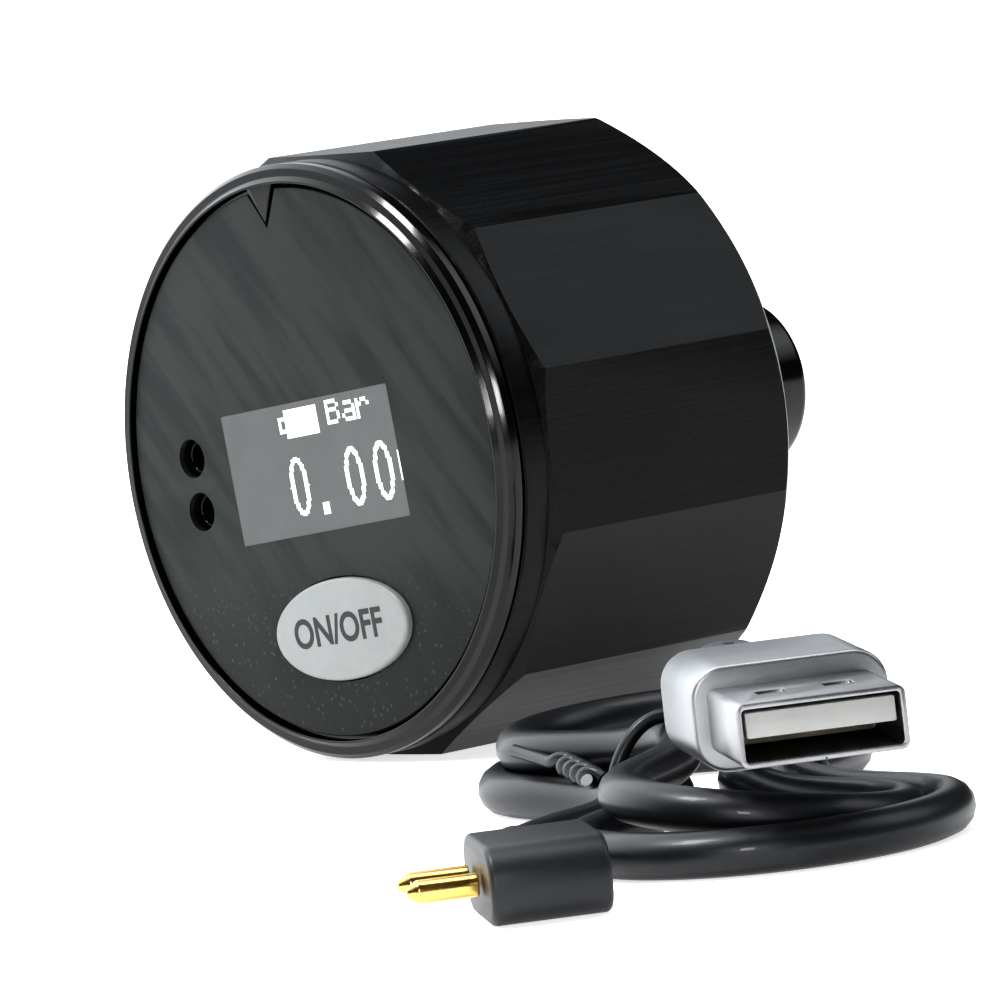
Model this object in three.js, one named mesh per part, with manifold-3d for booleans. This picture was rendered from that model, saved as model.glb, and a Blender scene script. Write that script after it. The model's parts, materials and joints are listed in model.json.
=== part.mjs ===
// Digital pressure gauge head for a suspension pump, with its charging lead.
// Millimetres, +Z up. The gauge's own axis runs along Y: its face looks towards -Y and its
// hose stem points towards +Y. It lies on one of the twelve flats of its body.
import * as THREE from 'three';
import { mergeVertices } from 'three/addons/utils/BufferGeometryUtils.js';
import Module from 'manifold-3d';

const wasm = await Module();
wasm.setup();

// ---------------------------------------------------------------- driving dimensions
const GAP = 0.3;                 // clearance between neighbouring pieces
const FIT = 0.15;                // clearance of the flush pieces in the face
const FACE_TURN = 6.5;           // degrees: the face is not quite lined up with the flats
const EDGE = 0.3;                // small bevels of the turned pieces
const PAST = 1;                  // cutting shapes reach this far past what they cut
const HAIR = 0.01;               // and stand this far off a surface that they follow

const FINE = 60;                 // sides of the large round pieces
const FLATS = 12;                // flats milled round the body
const BODY_DIA = 50.8;           // across the corners
const BODY_WALL = 4.2;           // from the corners in to the cavity
const SEAT_WALL = 2.2;           // from the corners in to the bezel's seat
const COLLAR_DROP = 1.1;         // the round collar and the bezel are this much below the corners
const COLLAR_EDGE = 0.25;        // bevel on the collar's front edge
const COLLAR_LENGTH = 2.4;
const COLLAR_STEP = 0.7;         // length of the bevel from the collar up to the corners
const BODY_LENGTH = 28.9;        // collar front to rear face
const REAR_WALL = 3.7;
const REAR_CHAMFER = [1.4, 1.5]; // radial, along the axis
const SEAT_DEPTH = 4.2;          // counterbore that takes the bezel's spigot
const SPIGOT_WALL = 1.0;

const RING_HEIGHT = 1.6;         // bezel ring, front lip to seam
const RING_LIP = 0.35;           // how far the lip stands proud of the label
const RING_ROUND = 0.95;
const RING_CURVE = [[0.38, 0.18], [0.1, 0.55]];   // points on that round: share inwards, backwards
const LIP_LEAN = 0.25;           // how far the lip's inner side leans out
const RING_RIM = 1.9;            // from the label's edge out to the bezel's outside
const SPIGOT_SHORT = 1.4;        // the spigot stops this far short of the seat, for the seal
const SEAL_SECTION = 0.8;
const RING_RECESS = 0.35;        // dark gap between the label and the ring
const SHELF_WIDTH = 1.6;         // shelf inside the ring that carries the label
const SHELF_THICK = 1.2;
const TOOTH_DEPTH = 2.7;         // locating tooth of the ring, pointing inwards
const TOOTH_WIDTH = 3.6;
const TOOTH_ROOT = 0.3;          // its root reaches this far into the ring
const TOOTH_GAP = 0.35;
const TOOTH_NOTCH = [1.3, 1.6];  // growth of the notch, half width and depth, for each mm of gap

const LABEL_THICK = 0.5;
const WINDOW = [21.4, 10.75];    // display window
const WINDOW_AT = [0.3, -0.3];
const KEY = [16.8, 8.3];         // power key, an ellipse
const KEY_AT = [0.35, -13.7];
const KEY_PROUD = 0.55;
const KEY_ROUND = 0.4;           // step round the key's front edge
const KEY_FLANGE = [0.55, 1.0];  // width round the key, thickness
const SOCKET_BESIDE = 3.1;       // from the display panel's edge out to the sockets
const SOCKET_PITCH = 4.45;
const SOCKET_HOLE = 3.2;         // holes in the label
const SOCKET_BORE = 2.3;
const SOCKET_DIA = 3.4;
const SOCKET_LENGTH = 6.2;
const SOCKET_END = 1.2;          // closed end of the barrel
const SOCKET_LEAD_IN = 0.2;
const SOCKET_SET_BACK = 0.1;     // behind the shelf's front

const CARRIER_THICK = 3.1;
const CARRIER_FLANGE = 1.5;
const LENS_THICK = 1.6;
const PANEL_RIM = [1.6, 2.025];  // display panel behind the window, beyond each side of it
const PANEL_THICK = 1.3;
const FOAM_THICK = 1.6;
const FOAM_INSET = [5, 6];       // smaller than the panel by this much
const FOAM_DROP = 2;             // lower than the panel's centre, clear of the ribbon
const RIBBON = [9, 0.3];         // width, thickness
const RIBBON_TAB = 2.2;          // part of the ribbon that is bonded to the panel
const RIBBON_INSET = 0.6;        // below the panel's top edge
const INNER_ROUND = 0.8;         // corners of the flat pieces inside
const BOARD_CLEAR = 0.8;         // between the board's edge and the cavity
const BOARD_THICK = 1.6;
const SWITCH = [5.2, 5.2, 1.7];
const SWITCH_FLOOR = 0.3;
const PLUNGER_DIA = 2.6;
const PLUNGER_LENGTH = 1.7;
const PLUNGER_PROUD = 0.8;       // it stands this far out of the switch
const POST_DIA = 4.4;
const POST_INSET = 3.2;          // of the four board screws, from the board's edge
const POST_ANGLES = [40, 140, 220, 320];
const SCREW_SHANK = 1.8;
const SCREW_LENGTH = 5.0;
const SCREW_SHORT = 0.2;         // its tip stops this far short of its hole
const SCREW_HEAD = [3.8, 1.2];
const SCREW_CROSS = [2.4, 0.5, 0.5];  // length, width, depth
const PAD = [18, 15, 1.4];
const CELL = [26, 20, 5.4];      // battery
const CELL_ROUND = 1.5;
const CELL_STEP = 0.5;
const CELL_LEAD = 1.0;
const CELL_LEAD_AT = [0.7, -3];  // beside the pad, below the axis

const STEM_DIA = 14.6;           // hose stem behind the body
const STEM_LENGTH = 17.0;
const STEM_ROUND = 0.9;
const STEM_BORE = 8.6;
const STEM_BORE_DEPTH = 10.0;
const STEM_MOUTH = 0.5;          // bevel at the bore's mouth
const DRILL_POINT = 1.2;         // cone at its bottom
const AIR_BORE = 3.0;
const NECK_DIA = 10.0;           // part of the stem that passes through the rear wall
const NECK_PAST_NUT = 0.8;       // the neck's thread stands this far out of its nut
const NECK_POCKET = [7.4, 2.2];  // seat of the sensor's seal
const WASHER_THICK = 0.8;
const NUT = [15.0, 3.2];         // across flats, thickness
const SENSOR_DIA = 11.2;
const SENSOR_LENGTH = 3.4;
const SNOUT = [3.4, 1.8, 0.6];   // diameter, reach, radius of its hole
const SENSOR_SEAL = 1.1;
const SENSOR_RIBBON = [6.0, 1.4, 2.0];   // width, distance from the battery, end above the axis

const CORD_DIA = 3.4;            // charging lead, tied up as a hank
const HANK_SPAN = 40.0;          // between the centres of its two round ends
const HANK_END = 10.2;           // inner radius of the cord's turns at the ends
const HANK_WAIST = 1.7;          // half width of the innermost turn at the tie
const HANK_LANES = 1;            // further turns outside the innermost one
const LAYER_RISE = 2.95;         // second layer sits in the grooves of the first
const TIE = [3.0, 0.7];          // width along the hank, thickness
const LEAD_AT = [66.8, -44.3];   // centre of the hank on the surface
const LEAD_TURN = -33;           // degrees
const USB_AT = [0, 1.5];         // where the boot starts on top of the hank
const USB_BOOT = [5.6, 13.9, 13.4];   // small end, large end, length
const USB_GRIP = [14.2, 7.6, 13.6];   // width, thickness, length
const USB_SHELL = [12.0, 4.5, 11.8];
const USB_WALL = 0.4;
const USB_FLOOR = 1.0;
const USB_TONGUE = [10.6, 1.8, 10.0];
const USB_ROUNDS = [2.2, 0.6, 0.3, 0.1];   // grip, shell, its bore, tongue
const USB_FLARE = [[0.35, 0.4], [0.75, 1.4]];   // share of the boot's length, change of half width
const USB_CORD = [[-4, 0, 0], [-10, 1.7, -0.5], [-16, 5.1, -1.9]];   // from the boot's start
const PLUG = [13.2, 5.6, 8.5];   // angle plug: length, thickness, depth
const PLUG_AT = [27.0, -19.2];   // its boot end, from the hank's centre
const PIN_DIA = 1.7;
const PIN_LENGTH = 5.0;
const PLUG_BOOT = [4.6, 4.0];    // diameter, length
const PLUG_FLAT = 0.1;           // flat left between the plug's rounded edges
const PLUG_CORD = [[-4, 0.2, -0.5], [-10, 1.6, -1], [-16, 5.4, -1]];   // from its boot's end

// ---------------------------------------------------------------- derived places along the axis
const labelBack = LABEL_THICK;
const shelfFront = labelBack + GAP;
const shelfBack = shelfFront + SHELF_THICK;
const ringBack = RING_HEIGHT - RING_LIP;
const bodyFront = ringBack + GAP;
const bodyBack = bodyFront + BODY_LENGTH;
const flatsFront = bodyFront + COLLAR_LENGTH;
const seatBack = bodyFront + SEAT_DEPTH;
const cavityBack = bodyBack - REAR_WALL;
const bodyR = BODY_DIA / 2;
const apothem = bodyR * Math.cos(Math.PI / FLATS);
const collarR = bodyR - COLLAR_DROP;
const boreR = bodyR - BODY_WALL;
const seatR = bodyR - SEAT_WALL;
const labelR = collarR - RING_RIM;
const ringInnerR = labelR + RING_RECESS;
const shelfR = labelR - SHELF_WIDTH;
const spigotR = seatR - GAP;
const spigotInnerR = spigotR - SPIGOT_WALL;
const carrierBack = shelfFront + CARRIER_THICK;
const flangeFront = shelfBack + GAP;
const flangeBack = flangeFront + CARRIER_FLANGE;
const panelFront = LENS_THICK + GAP;
const panelBack = panelFront + PANEL_THICK;
const panelSize = WINDOW.map((side, i) => side + 2 * PANEL_RIM[i]);
const foamBack = panelBack + GAP + FOAM_THICK;
const keyFlangeFront = carrierBack + GAP;
const keyBack = keyFlangeFront + KEY_FLANGE[1];
const plungerFront = keyBack + GAP;
const switchFront = plungerFront + PLUNGER_PROUD;
const switchBack = switchFront + SWITCH[2];
const boardFront = switchBack + GAP;
const boardBack = boardFront + BOARD_THICK;
const boardR = boreR - BOARD_CLEAR;
const postCircle = boardR - POST_INSET;
const padFront = boardBack + GAP;
const cellFront = padFront + PAD[2] + GAP;
const cellBack = cellFront + CELL[2];
const washerFront = bodyBack + GAP;
const stemFront = washerFront + WASHER_THICK + GAP;
const stemBack = stemFront + STEM_LENGTH;
const nutBack = cavityBack - GAP;
const neckFront = nutBack - NUT[1] - NECK_PAST_NUT;
const sensorBack = neckFront - GAP;
const sensorFront = sensorBack - SENSOR_LENGTH;
const gaugeLength = stemBack + RING_LIP;
const neckR = NECK_DIA / 2;

// ---------------------------------------------------------------- helpers
const rad = THREE.MathUtils.degToRad;

// A geometry as one closed solid, facing out.
function solid(geometry) {
  const bare = geometry.index ? geometry.toNonIndexed() : geometry.clone();
  for (const name of Object.keys(bare.attributes)) if (name !== 'position') bare.deleteAttribute(name);
  const g = mergeVertices(bare, 1e-4);
  const keep = [];
  const index = g.index.array;
  for (let i = 0; i < index.length; i += 3) {
    const [a, b, c] = [index[i], index[i + 1], index[i + 2]];
    if (a !== b && b !== c && a !== c) keep.push(a, b, c);
  }
  const p = g.attributes.position.array;
  let volume = 0;
  const v = (k) => new THREE.Vector3(p[3 * k], p[3 * k + 1], p[3 * k + 2]);
  for (let i = 0; i < keep.length; i += 3) {
    volume += v(keep[i]).dot(v(keep[i + 1]).cross(v(keep[i + 2])));
  }
  if (volume < 0) for (let i = 0; i < keep.length; i += 3) keep.splice(i, 3, keep[i], keep[i + 2], keep[i + 1]);
  const mesh = new wasm.Mesh({
    numProp: 3,
    vertProperties: new Float32Array(p),
    triVerts: new Uint32Array(keep),
  });
  return new wasm.Manifold(mesh);
}

// A solid as a geometry again.
function geometryOf(manifold) {
  const { vertProperties, triVerts, numProp } = manifold.getMesh();
  const g = new THREE.BufferGeometry();
  const count = vertProperties.length / numProp;
  const position = new Float32Array(count * 3);
  for (let i = 0; i < count; i++) position.set(vertProperties.subarray(i * numProp, i * numProp + 3), i * 3);
  g.setAttribute('position', new THREE.BufferAttribute(position, 3));
  g.setIndex(Array.from(triVerts));
  g.computeVertexNormals();
  return g;
}

// Turned shape about the Y axis, from [radius, y] points that close on themselves or on the axis.
function turned(points, segments = 48) {
  const closes = points[0][0] > 0 || points[points.length - 1][0] > 0;
  const loop = closes ? [...points, points[0]] : points;
  return solid(new THREE.LatheGeometry(loop.map(([r, y]) => new THREE.Vector2(r, y)), segments));
}

// Round bar from y0 to y1, at x, z.
function rod(dia, y0, y1, x = 0, z = 0, segments = 24) {
  const g = new THREE.CylinderGeometry(dia / 2, dia / 2, y1 - y0, segments);
  return solid(g.translate(x, (y0 + y1) / 2, z));
}

// Outline in the X-Z plane, extruded from y0 to y1.
function slab(shape, y0, y1, curveSegments = 3) {
  const g = new THREE.ExtrudeGeometry(shape, { depth: y1 - y0, bevelEnabled: false, curveSegments });
  return solid(g.rotateX(Math.PI / 2).translate(0, y1, 0));
}

function rectangle(w, h, x = 0, z = 0, r = 0.4) {
  const s = new THREE.Shape();
  const [l, t, b, k] = [x - w / 2, z + h / 2, z - h / 2, x + w / 2];
  s.moveTo(l + r, b);
  s.lineTo(k - r, b);
  s.absarc(k - r, b + r, r, -Math.PI / 2, 0, false);
  s.lineTo(k, t - r);
  s.absarc(k - r, t - r, r, 0, Math.PI / 2, false);
  s.lineTo(l + r, t);
  s.absarc(l + r, t - r, r, Math.PI / 2, Math.PI, false);
  s.lineTo(l, b + r);
  s.absarc(l + r, b + r, r, Math.PI, 1.5 * Math.PI, false);
  return s;
}

function oval(w, h, x, z) {
  const s = new THREE.Shape();
  s.absellipse(x, z, w / 2, h / 2, 0, 2 * Math.PI, false, 0);
  return s;
}

// Polygon with n sides across `corner` radius, one flat level at the bottom.
function polygon(n, corner) {
  const s = new THREE.Shape();
  for (let i = 0; i < n; i++) {
    const a = (2 * Math.PI * (i + 0.5)) / n - Math.PI / 2;
    if (i === 0) s.moveTo(corner * Math.cos(a), corner * Math.sin(a));
    else s.lineTo(corner * Math.cos(a), corner * Math.sin(a));
  }
  s.closePath();
  return s;
}

// Ring of round section about the Y axis.
function sealRing(radius, section, y, segments = 36) {
  const g = new THREE.TorusGeometry(radius, section / 2, 8, segments);
  return solid(g.rotateX(Math.PI / 2).translate(0, y, 0));
}

const materials = {
  anodised: { color: 0x0d0e0f, roughness: 0.38, metalness: 0.8 },
  bezel: { color: 0x0a0a0b, roughness: 0.22, metalness: 0.75 },
  label: { color: 0x2b302f, roughness: 0.42, metalness: 0.0 },
  screen: { color: 0x4c5152, roughness: 0.2, metalness: 0.0 },
  key: { color: 0xb4b8b9, roughness: 0.5, metalness: 0.0 },
  plastic: { color: 0x17181a, roughness: 0.6, metalness: 0.0 },
  rubber: { color: 0x111112, roughness: 0.85, metalness: 0.0 },
  board: { color: 0x14452a, roughness: 0.5, metalness: 0.0 },
  brass: { color: 0xc79a3e, roughness: 0.3, metalness: 1.0 },
  steel: { color: 0xa9acaf, roughness: 0.35, metalness: 1.0 },
  cell: { color: 0x9aa0a6, roughness: 0.45, metalness: 0.4 },
  ribbon: { color: 0xb0702a, roughness: 0.5, metalness: 0.0 },
  foam: { color: 0x2a2a2c, roughness: 0.95, metalness: 0.0 },
  satin: { color: 0xc9cbcd, roughness: 0.3, metalness: 0.9 },
  clear: { color: 0xc3c7cc, roughness: 0.4, metalness: 0.0 },
  cord: { color: 0x1b1c1e, roughness: 0.5, metalness: 0.0 },
};

function piece(name, manifold, finish) {
  const mesh = new THREE.Mesh(geometryOf(manifold), new THREE.MeshStandardMaterial(materials[finish]));
  mesh.name = name;
  return mesh;
}

// ---------------------------------------------------------------- body
function bodyShell() {
  const [cr, cl] = REAR_CHAMFER;
  const outside = turned([
    [boreR, bodyFront],
    [collarR - COLLAR_EDGE, bodyFront],
    [collarR, bodyFront + COLLAR_EDGE],
    [collarR, flatsFront],
    [bodyR, flatsFront + COLLAR_STEP],
    [bodyR, bodyBack - cl],
    [bodyR - cr, bodyBack],
    [neckR + GAP, bodyBack],
    [neckR + GAP, cavityBack],
    [boreR, cavityBack],
  ], FINE);
  const prism = slab(polygon(FLATS, bodyR + HAIR), flatsFront - PAST, bodyBack + PAST);
  const collar = rod(2 * (collarR + HAIR), bodyFront - PAST, flatsFront, 0, 0, FINE);
  const seat = rod(2 * seatR, bodyFront - PAST, seatBack, 0, 0, FINE);
  return piece('body_shell', outside.intersect(prism.add(collar)).subtract(seat), 'anodised');
}

function bezelRing() {
  const front = -RING_LIP;
  const r = collarR;
  const ring = turned([
    [ringInnerR, shelfFront],
    [ringInnerR, 0],
    [ringInnerR + LIP_LEAN, front],
    [r - RING_ROUND, front],
    ...RING_CURVE.map(([inwards, back]) => [r - inwards * RING_ROUND, front + back * RING_ROUND]),
    [r, front + RING_ROUND],
    [r, ringBack],
    [spigotR, ringBack],
    [spigotR, seatBack - SPIGOT_SHORT],
    [spigotInnerR, seatBack - SPIGOT_SHORT],
    [spigotInnerR, shelfBack],
    [shelfR, shelfBack],
    [shelfR, shelfFront],
  ], FINE);
  const tooth = slab(toothShape(0), 0, labelBack);
  return piece('bezel_ring', ring.add(tooth), 'bezel');
}

// The tooth's outline, grown by `extra` for the notch in the label that it sits in.
function toothShape(extra) {
  const rootR = ringInnerR + TOOTH_ROOT;
  const half = TOOTH_WIDTH / 2 + extra * TOOTH_NOTCH[0];
  const s = new THREE.Shape();
  s.moveTo(-half, rootR);
  s.lineTo(0, labelR - TOOTH_DEPTH - extra * TOOTH_NOTCH[1]);
  s.lineTo(half, rootR);
  s.closePath();
  return s;
}

function bezelSeal() {
  return piece('bezel_seal', sealRing((boreR + seatR) / 2, SEAL_SECTION, seatBack - SPIGOT_SHORT / 2), 'rubber');
}

// ---------------------------------------------------------------- face
const socketX = WINDOW_AT[0] - panelSize[0] / 2 - SOCKET_BESIDE;
const socketPlaces = [1, -1].map((side) => [socketX, (side * SOCKET_PITCH) / 2]);

function faceLabel() {
  const through = [-PAST, labelBack + PAST];
  let label = rod(2 * labelR, 0, labelBack, 0, 0, FINE);
  label = label.subtract(slab(toothShape(TOOTH_GAP), ...through));
  label = label.subtract(slab(rectangle(WINDOW[0] + 2 * FIT, WINDOW[1] + 2 * FIT, ...WINDOW_AT), ...through));
  label = label.subtract(slab(oval(KEY[0] + 2 * FIT, KEY[1] + 2 * FIT, ...KEY_AT), ...through, 28));
  for (const [x, z] of socketPlaces) label = label.subtract(rod(SOCKET_HOLE, ...through, x, z));
  return piece('face_label', label, 'label');
}

function displayWindow() {
  return piece('display_window', slab(rectangle(...WINDOW, ...WINDOW_AT), 0, LENS_THICK), 'screen');
}

function displayPanel() {
  const [w, h] = panelSize;
  return piece('display_panel', slab(rectangle(w, h, ...WINDOW_AT, INNER_ROUND), panelFront, panelBack), 'plastic');
}

function displayFoam() {
  const [w, h] = [panelSize[0] - FOAM_INSET[0], panelSize[1] - FOAM_INSET[1]];
  const place = [WINDOW_AT[0], WINDOW_AT[1] - FOAM_DROP];
  return piece('display_foam', slab(rectangle(w, h, ...place, INNER_ROUND), panelBack + GAP, foamBack), 'foam');
}

// Flat ribbon bent once: it leaves the panel's back and runs straight to the board.
function displayRibbon() {
  const [width, thick] = RIBBON;
  const top = WINDOW_AT[1] + panelSize[1] / 2 - RIBBON_INSET;
  const s = new THREE.Shape();
  s.moveTo(panelBack + GAP, top - RIBBON_TAB);
  s.lineTo(panelBack + GAP + thick, top - RIBBON_TAB);
  s.lineTo(panelBack + GAP + thick, top - thick);
  s.lineTo(boardFront - GAP, top - thick);
  s.lineTo(boardFront - GAP, top);
  s.lineTo(panelBack + GAP, top);
  s.closePath();
  return piece('display_ribbon', acrossX(s, width, WINDOW_AT[0]), 'ribbon');
}

// Outline drawn as (y, z), extruded along X and centred on x.
function acrossX(shape, width, x) {
  const g = new THREE.ExtrudeGeometry(shape, { depth: width, bevelEnabled: false });
  g.rotateX(Math.PI / 2).rotateZ(Math.PI / 2);
  return solid(g.translate(x - width / 2, 0, 0));
}

function innerCarrier() {
  let carrier = rod(2 * (shelfR - GAP), shelfFront, carrierBack, 0, 0, FINE);
  carrier = carrier.add(rod(2 * (spigotInnerR - GAP), flangeFront, flangeBack, 0, 0, FINE));
  const back = Math.max(carrierBack, flangeBack);
  const pocket = rectangle(panelSize[0] + 2 * GAP, panelSize[1] + 2 * GAP, ...WINDOW_AT, INNER_ROUND);
  for (const angle of POST_ANGLES) {
    const [x, z] = postPlace(angle);
    carrier = carrier.add(rod(POST_DIA, flangeFront, boardFront - GAP, x, z, 14));
    carrier = carrier.subtract(rod(SCREW_SHANK + 2 * GAP, boardBack - SCREW_LENGTH, boardFront, x, z, 10));
  }
  carrier = carrier.subtract(slab(pocket, panelFront - GAP, back + PAST));
  carrier = carrier.subtract(slab(rectangle(WINDOW[0] + 2 * GAP, WINDOW[1] + 2 * GAP, ...WINDOW_AT), 0, back));
  carrier = carrier.subtract(slab(oval(KEY[0] + 2 * GAP, KEY[1] + 2 * GAP, ...KEY_AT), 0, back + PAST, 28));
  for (const [x, z] of socketPlaces) carrier = carrier.subtract(rod(SOCKET_DIA + 2 * GAP, 0, back + PAST, x, z));
  return piece('inner_carrier', carrier, 'plastic');
}

function postPlace(angle) {
  return [postCircle * Math.cos(rad(angle)), postCircle * Math.sin(rad(angle))];
}

function chargingSocket(name, [x, z]) {
  const front = shelfFront + SOCKET_SET_BACK;
  const back = front + SOCKET_LENGTH;
  const barrel = turned([
    [0, back - SOCKET_END],
    [SOCKET_BORE / 2, back - SOCKET_END],
    [SOCKET_BORE / 2, front + SOCKET_LEAD_IN],
    [SOCKET_BORE / 2 + SOCKET_LEAD_IN, front],
    [SOCKET_DIA / 2, front],
    [SOCKET_DIA / 2, back],
    [0, back],
  ], 18);
  return piece(name, barrel.translate([x, 0, z]), 'brass');
}

// ---------------------------------------------------------------- power key and its switch
function powerKey() {
  const [w, h] = KEY;
  const shape = oval(w, h, ...KEY_AT);
  const [rim] = KEY_FLANGE;
  const stem = slab(shape, KEY_ROUND - KEY_PROUD, keyBack, 28);
  const crown = slab(oval(w - 2 * KEY_ROUND, h - 2 * KEY_ROUND, ...KEY_AT), -KEY_PROUD, 0, 28);
  const flange = slab(oval(w + 2 * rim, h + 2 * rim, ...KEY_AT), keyFlangeFront, keyBack, 28);
  return piece('power_key', stem.add(crown).add(flange), 'key');
}

function tactSwitch() {
  const [w, h] = SWITCH;
  let housing = slab(rectangle(w, h, ...KEY_AT), switchFront, switchBack);
  housing = housing.subtract(rod(PLUNGER_DIA + 2 * GAP, switchFront - PAST, switchBack - SWITCH_FLOOR, ...KEY_AT, 28));
  return piece('tact_switch', housing, 'plastic');
}

function switchPlunger() {
  const back = plungerFront + PLUNGER_LENGTH;
  return piece('switch_plunger', rod(PLUNGER_DIA, plungerFront, back, ...KEY_AT, 24), 'steel');
}

// ---------------------------------------------------------------- electronics
function mainBoard() {
  let board = rod(2 * boardR, boardFront, boardBack, 0, 0, 48);
  for (const angle of POST_ANGLES) {
    board = board.subtract(rod(SCREW_SHANK + 2 * GAP, boardFront - PAST, boardBack + PAST, ...postPlace(angle), 10));
  }
  return piece('main_board', board, 'board');
}

function boardScrew(name, angle) {
  const [head, height] = SCREW_HEAD;
  const tip = boardBack + SCREW_SHORT - SCREW_LENGTH;
  const seat = boardBack + GAP;
  const top = seat + height;
  const screw = turned([
    [0, tip],
    [SCREW_SHANK / 2 - EDGE, tip],
    [SCREW_SHANK / 2, tip + EDGE],
    [SCREW_SHANK / 2, seat],
    [head / 2, seat],
    [head / 2, top - EDGE],
    [head / 2 - EDGE, top],
    [0, top],
  ], 12);
  const [long, wide, deep] = SCREW_CROSS;
  const slot = boxSolid(long, 2 * deep, wide, 0, top, 0);
  const cross = boxSolid(wide, 2 * deep, long, 0, top, 0);
  const [x, z] = postPlace(angle);
  return piece(name, screw.subtract(slot).subtract(cross).translate([x, 0, z]), 'steel');
}

function batteryPad() {
  return piece('battery_pad', slab(rectangle(PAD[0], PAD[1], 0, 0, INNER_ROUND), padFront, padFront + PAD[2]), 'foam');
}

function batteryCell() {
  const [w, h] = CELL;
  const [inW, inH] = [w - 2 * CELL_STEP, h - 2 * CELL_STEP];
  const cell = slab(rectangle(w, h, 0, 0, CELL_ROUND), cellFront + CELL_STEP, cellBack - CELL_STEP);
  const core = slab(rectangle(inW, inH, 0, 0, CELL_ROUND - CELL_STEP), cellFront, cellBack);
  return piece('battery_cell', cell.add(core), 'cell');
}

function batteryLead(name, side) {
  const [beside, z] = CELL_LEAD_AT;
  const x = side * (PAD[0] / 2 + CELL_LEAD / 2 + beside);
  return piece(name, rod(CELL_LEAD, boardBack + GAP, cellFront - GAP, x, z, 12), side > 0 ? 'key' : 'rubber');
}

function pressureSensor() {
  const r = SENSOR_DIA / 2;
  const [snout, reach, hole] = SNOUT;
  const can = turned([
    [0, sensorFront],
    [r - EDGE, sensorFront],
    [r, sensorFront + EDGE],
    [r, sensorBack],
    [snout / 2, sensorBack],
    [snout / 2, sensorBack + reach],
    [hole, sensorBack + reach],
    [hole, sensorBack + hole],
    [0, sensorBack + hole],
  ], 28);
  return piece('pressure_sensor', can, 'steel');
}

function sensorSeal() {
  const radius = (SNOUT[0] / 2 + NECK_POCKET[0] / 2) / 2;
  return piece('sensor_seal', sealRing(radius, SENSOR_SEAL, neckFront + SENSOR_SEAL, 20), 'rubber');
}

// Ribbon from the board, round the outside of the battery, in to the sensor.
function sensorRibbon() {
  const thick = RIBBON[1];
  const [width, beside, end] = SENSOR_RIBBON;
  const out = CELL[1] / 2 + beside;
  const y0 = boardBack + GAP;
  const y1 = sensorFront - GAP;
  const s = new THREE.Shape();
  s.moveTo(y0, out);
  s.lineTo(y0, out + thick);
  s.lineTo(y1, out + thick);
  s.lineTo(y1, end);
  s.lineTo(y1 - thick, end);
  s.lineTo(y1 - thick, out);
  s.closePath();
  return piece('sensor_ribbon', acrossX(s, width, 0), 'ribbon');
}

// ---------------------------------------------------------------- stem
function hoseStem() {
  const r = STEM_DIA / 2;
  const stem = turned([
    [AIR_BORE / 2, neckFront + NECK_POCKET[1]],
    [NECK_POCKET[0] / 2, neckFront + NECK_POCKET[1]],
    [NECK_POCKET[0] / 2, neckFront],
    [neckR, neckFront],
    [neckR, stemFront],
    [r - EDGE, stemFront],
    [r, stemFront + EDGE],
    [r, stemBack - STEM_ROUND],
    [r - 0.3 * STEM_ROUND, stemBack - 0.3 * STEM_ROUND],
    [r - STEM_ROUND, stemBack],
    [STEM_BORE / 2 + STEM_MOUTH, stemBack],
    [STEM_BORE / 2, stemBack - STEM_MOUTH],
    [STEM_BORE / 2, stemBack - STEM_BORE_DEPTH],
    [AIR_BORE / 2, stemBack - STEM_BORE_DEPTH - DRILL_POINT],
  ], 36);
  return piece('hose_stem', stem, 'bezel');
}

function stemWasher() {
  const inner = neckR + GAP;
  const outer = STEM_DIA / 2 - EDGE;
  return piece('stem_washer', turned([
    [inner, washerFront],
    [outer, washerFront],
    [outer, washerFront + WASHER_THICK],
    [inner, washerFront + WASHER_THICK],
  ], 48), 'rubber');
}

function stemNut() {
  const corner = NUT[0] / 2 / Math.cos(Math.PI / 6);
  const nut = slab(polygon(6, corner), nutBack - NUT[1], nutBack);
  return piece('stem_nut', nut.subtract(rod(NECK_DIA + 2 * GAP, 0, stemBack)), 'brass');
}

// ---------------------------------------------------------------- charging lead
const hankTop = CORD_DIA + LAYER_RISE;
const usbMid = hankTop + GAP + USB_GRIP[1] / 2;

// Half width of a turn of the hank that lies `lane` outside the innermost one.
function halfWidth(u, lane) {
  const wave = (1 + Math.cos((2 * Math.PI * (u + HANK_SPAN / 2)) / HANK_SPAN)) / 2;
  return HANK_WAIST + lane + (HANK_END - HANK_WAIST) * wave;
}

function hankOutline() {
  const lane = HANK_LANES * CORD_DIA + CORD_DIA / 2;
  const half = HANK_SPAN / 2;
  const steps = 14;
  const side = [];
  for (let i = 0; i <= steps; i++) {
    const u = -half + (HANK_SPAN * i) / steps;
    side.push(new THREE.Vector2(u, -halfWidth(u, lane)));
  }
  const s = new THREE.Shape();
  s.moveTo(side[0].x, side[0].y);
  for (const q of side.slice(1)) s.lineTo(q.x, q.y);
  s.absarc(half, 0, HANK_END + lane, -Math.PI / 2, Math.PI / 2, false);
  for (const q of side.slice(0, -1).reverse()) s.lineTo(q.x, -q.y);
  s.absarc(-half, 0, HANK_END + lane, Math.PI / 2, 1.5 * Math.PI, false);
  return s;
}

// Outline in the X-Y plane, extruded upwards from z0 to z1.
function upright(shape, z0, z1, curveSegments = 8) {
  const g = new THREE.ExtrudeGeometry(shape, { depth: z1 - z0, bevelEnabled: false, curveSegments });
  return solid(g.translate(0, 0, z0));
}

// Outline drawn as (v, z), extruded along the lead's own length from u0 to u1.
function alongU(shape, u0, u1, curveSegments = 4) {
  const g = new THREE.ExtrudeGeometry(shape, { depth: u1 - u0, bevelEnabled: false, curveSegments });
  return solid(g.rotateX(Math.PI / 2).rotateZ(Math.PI / 2).translate(u0, 0, 0));
}

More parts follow.
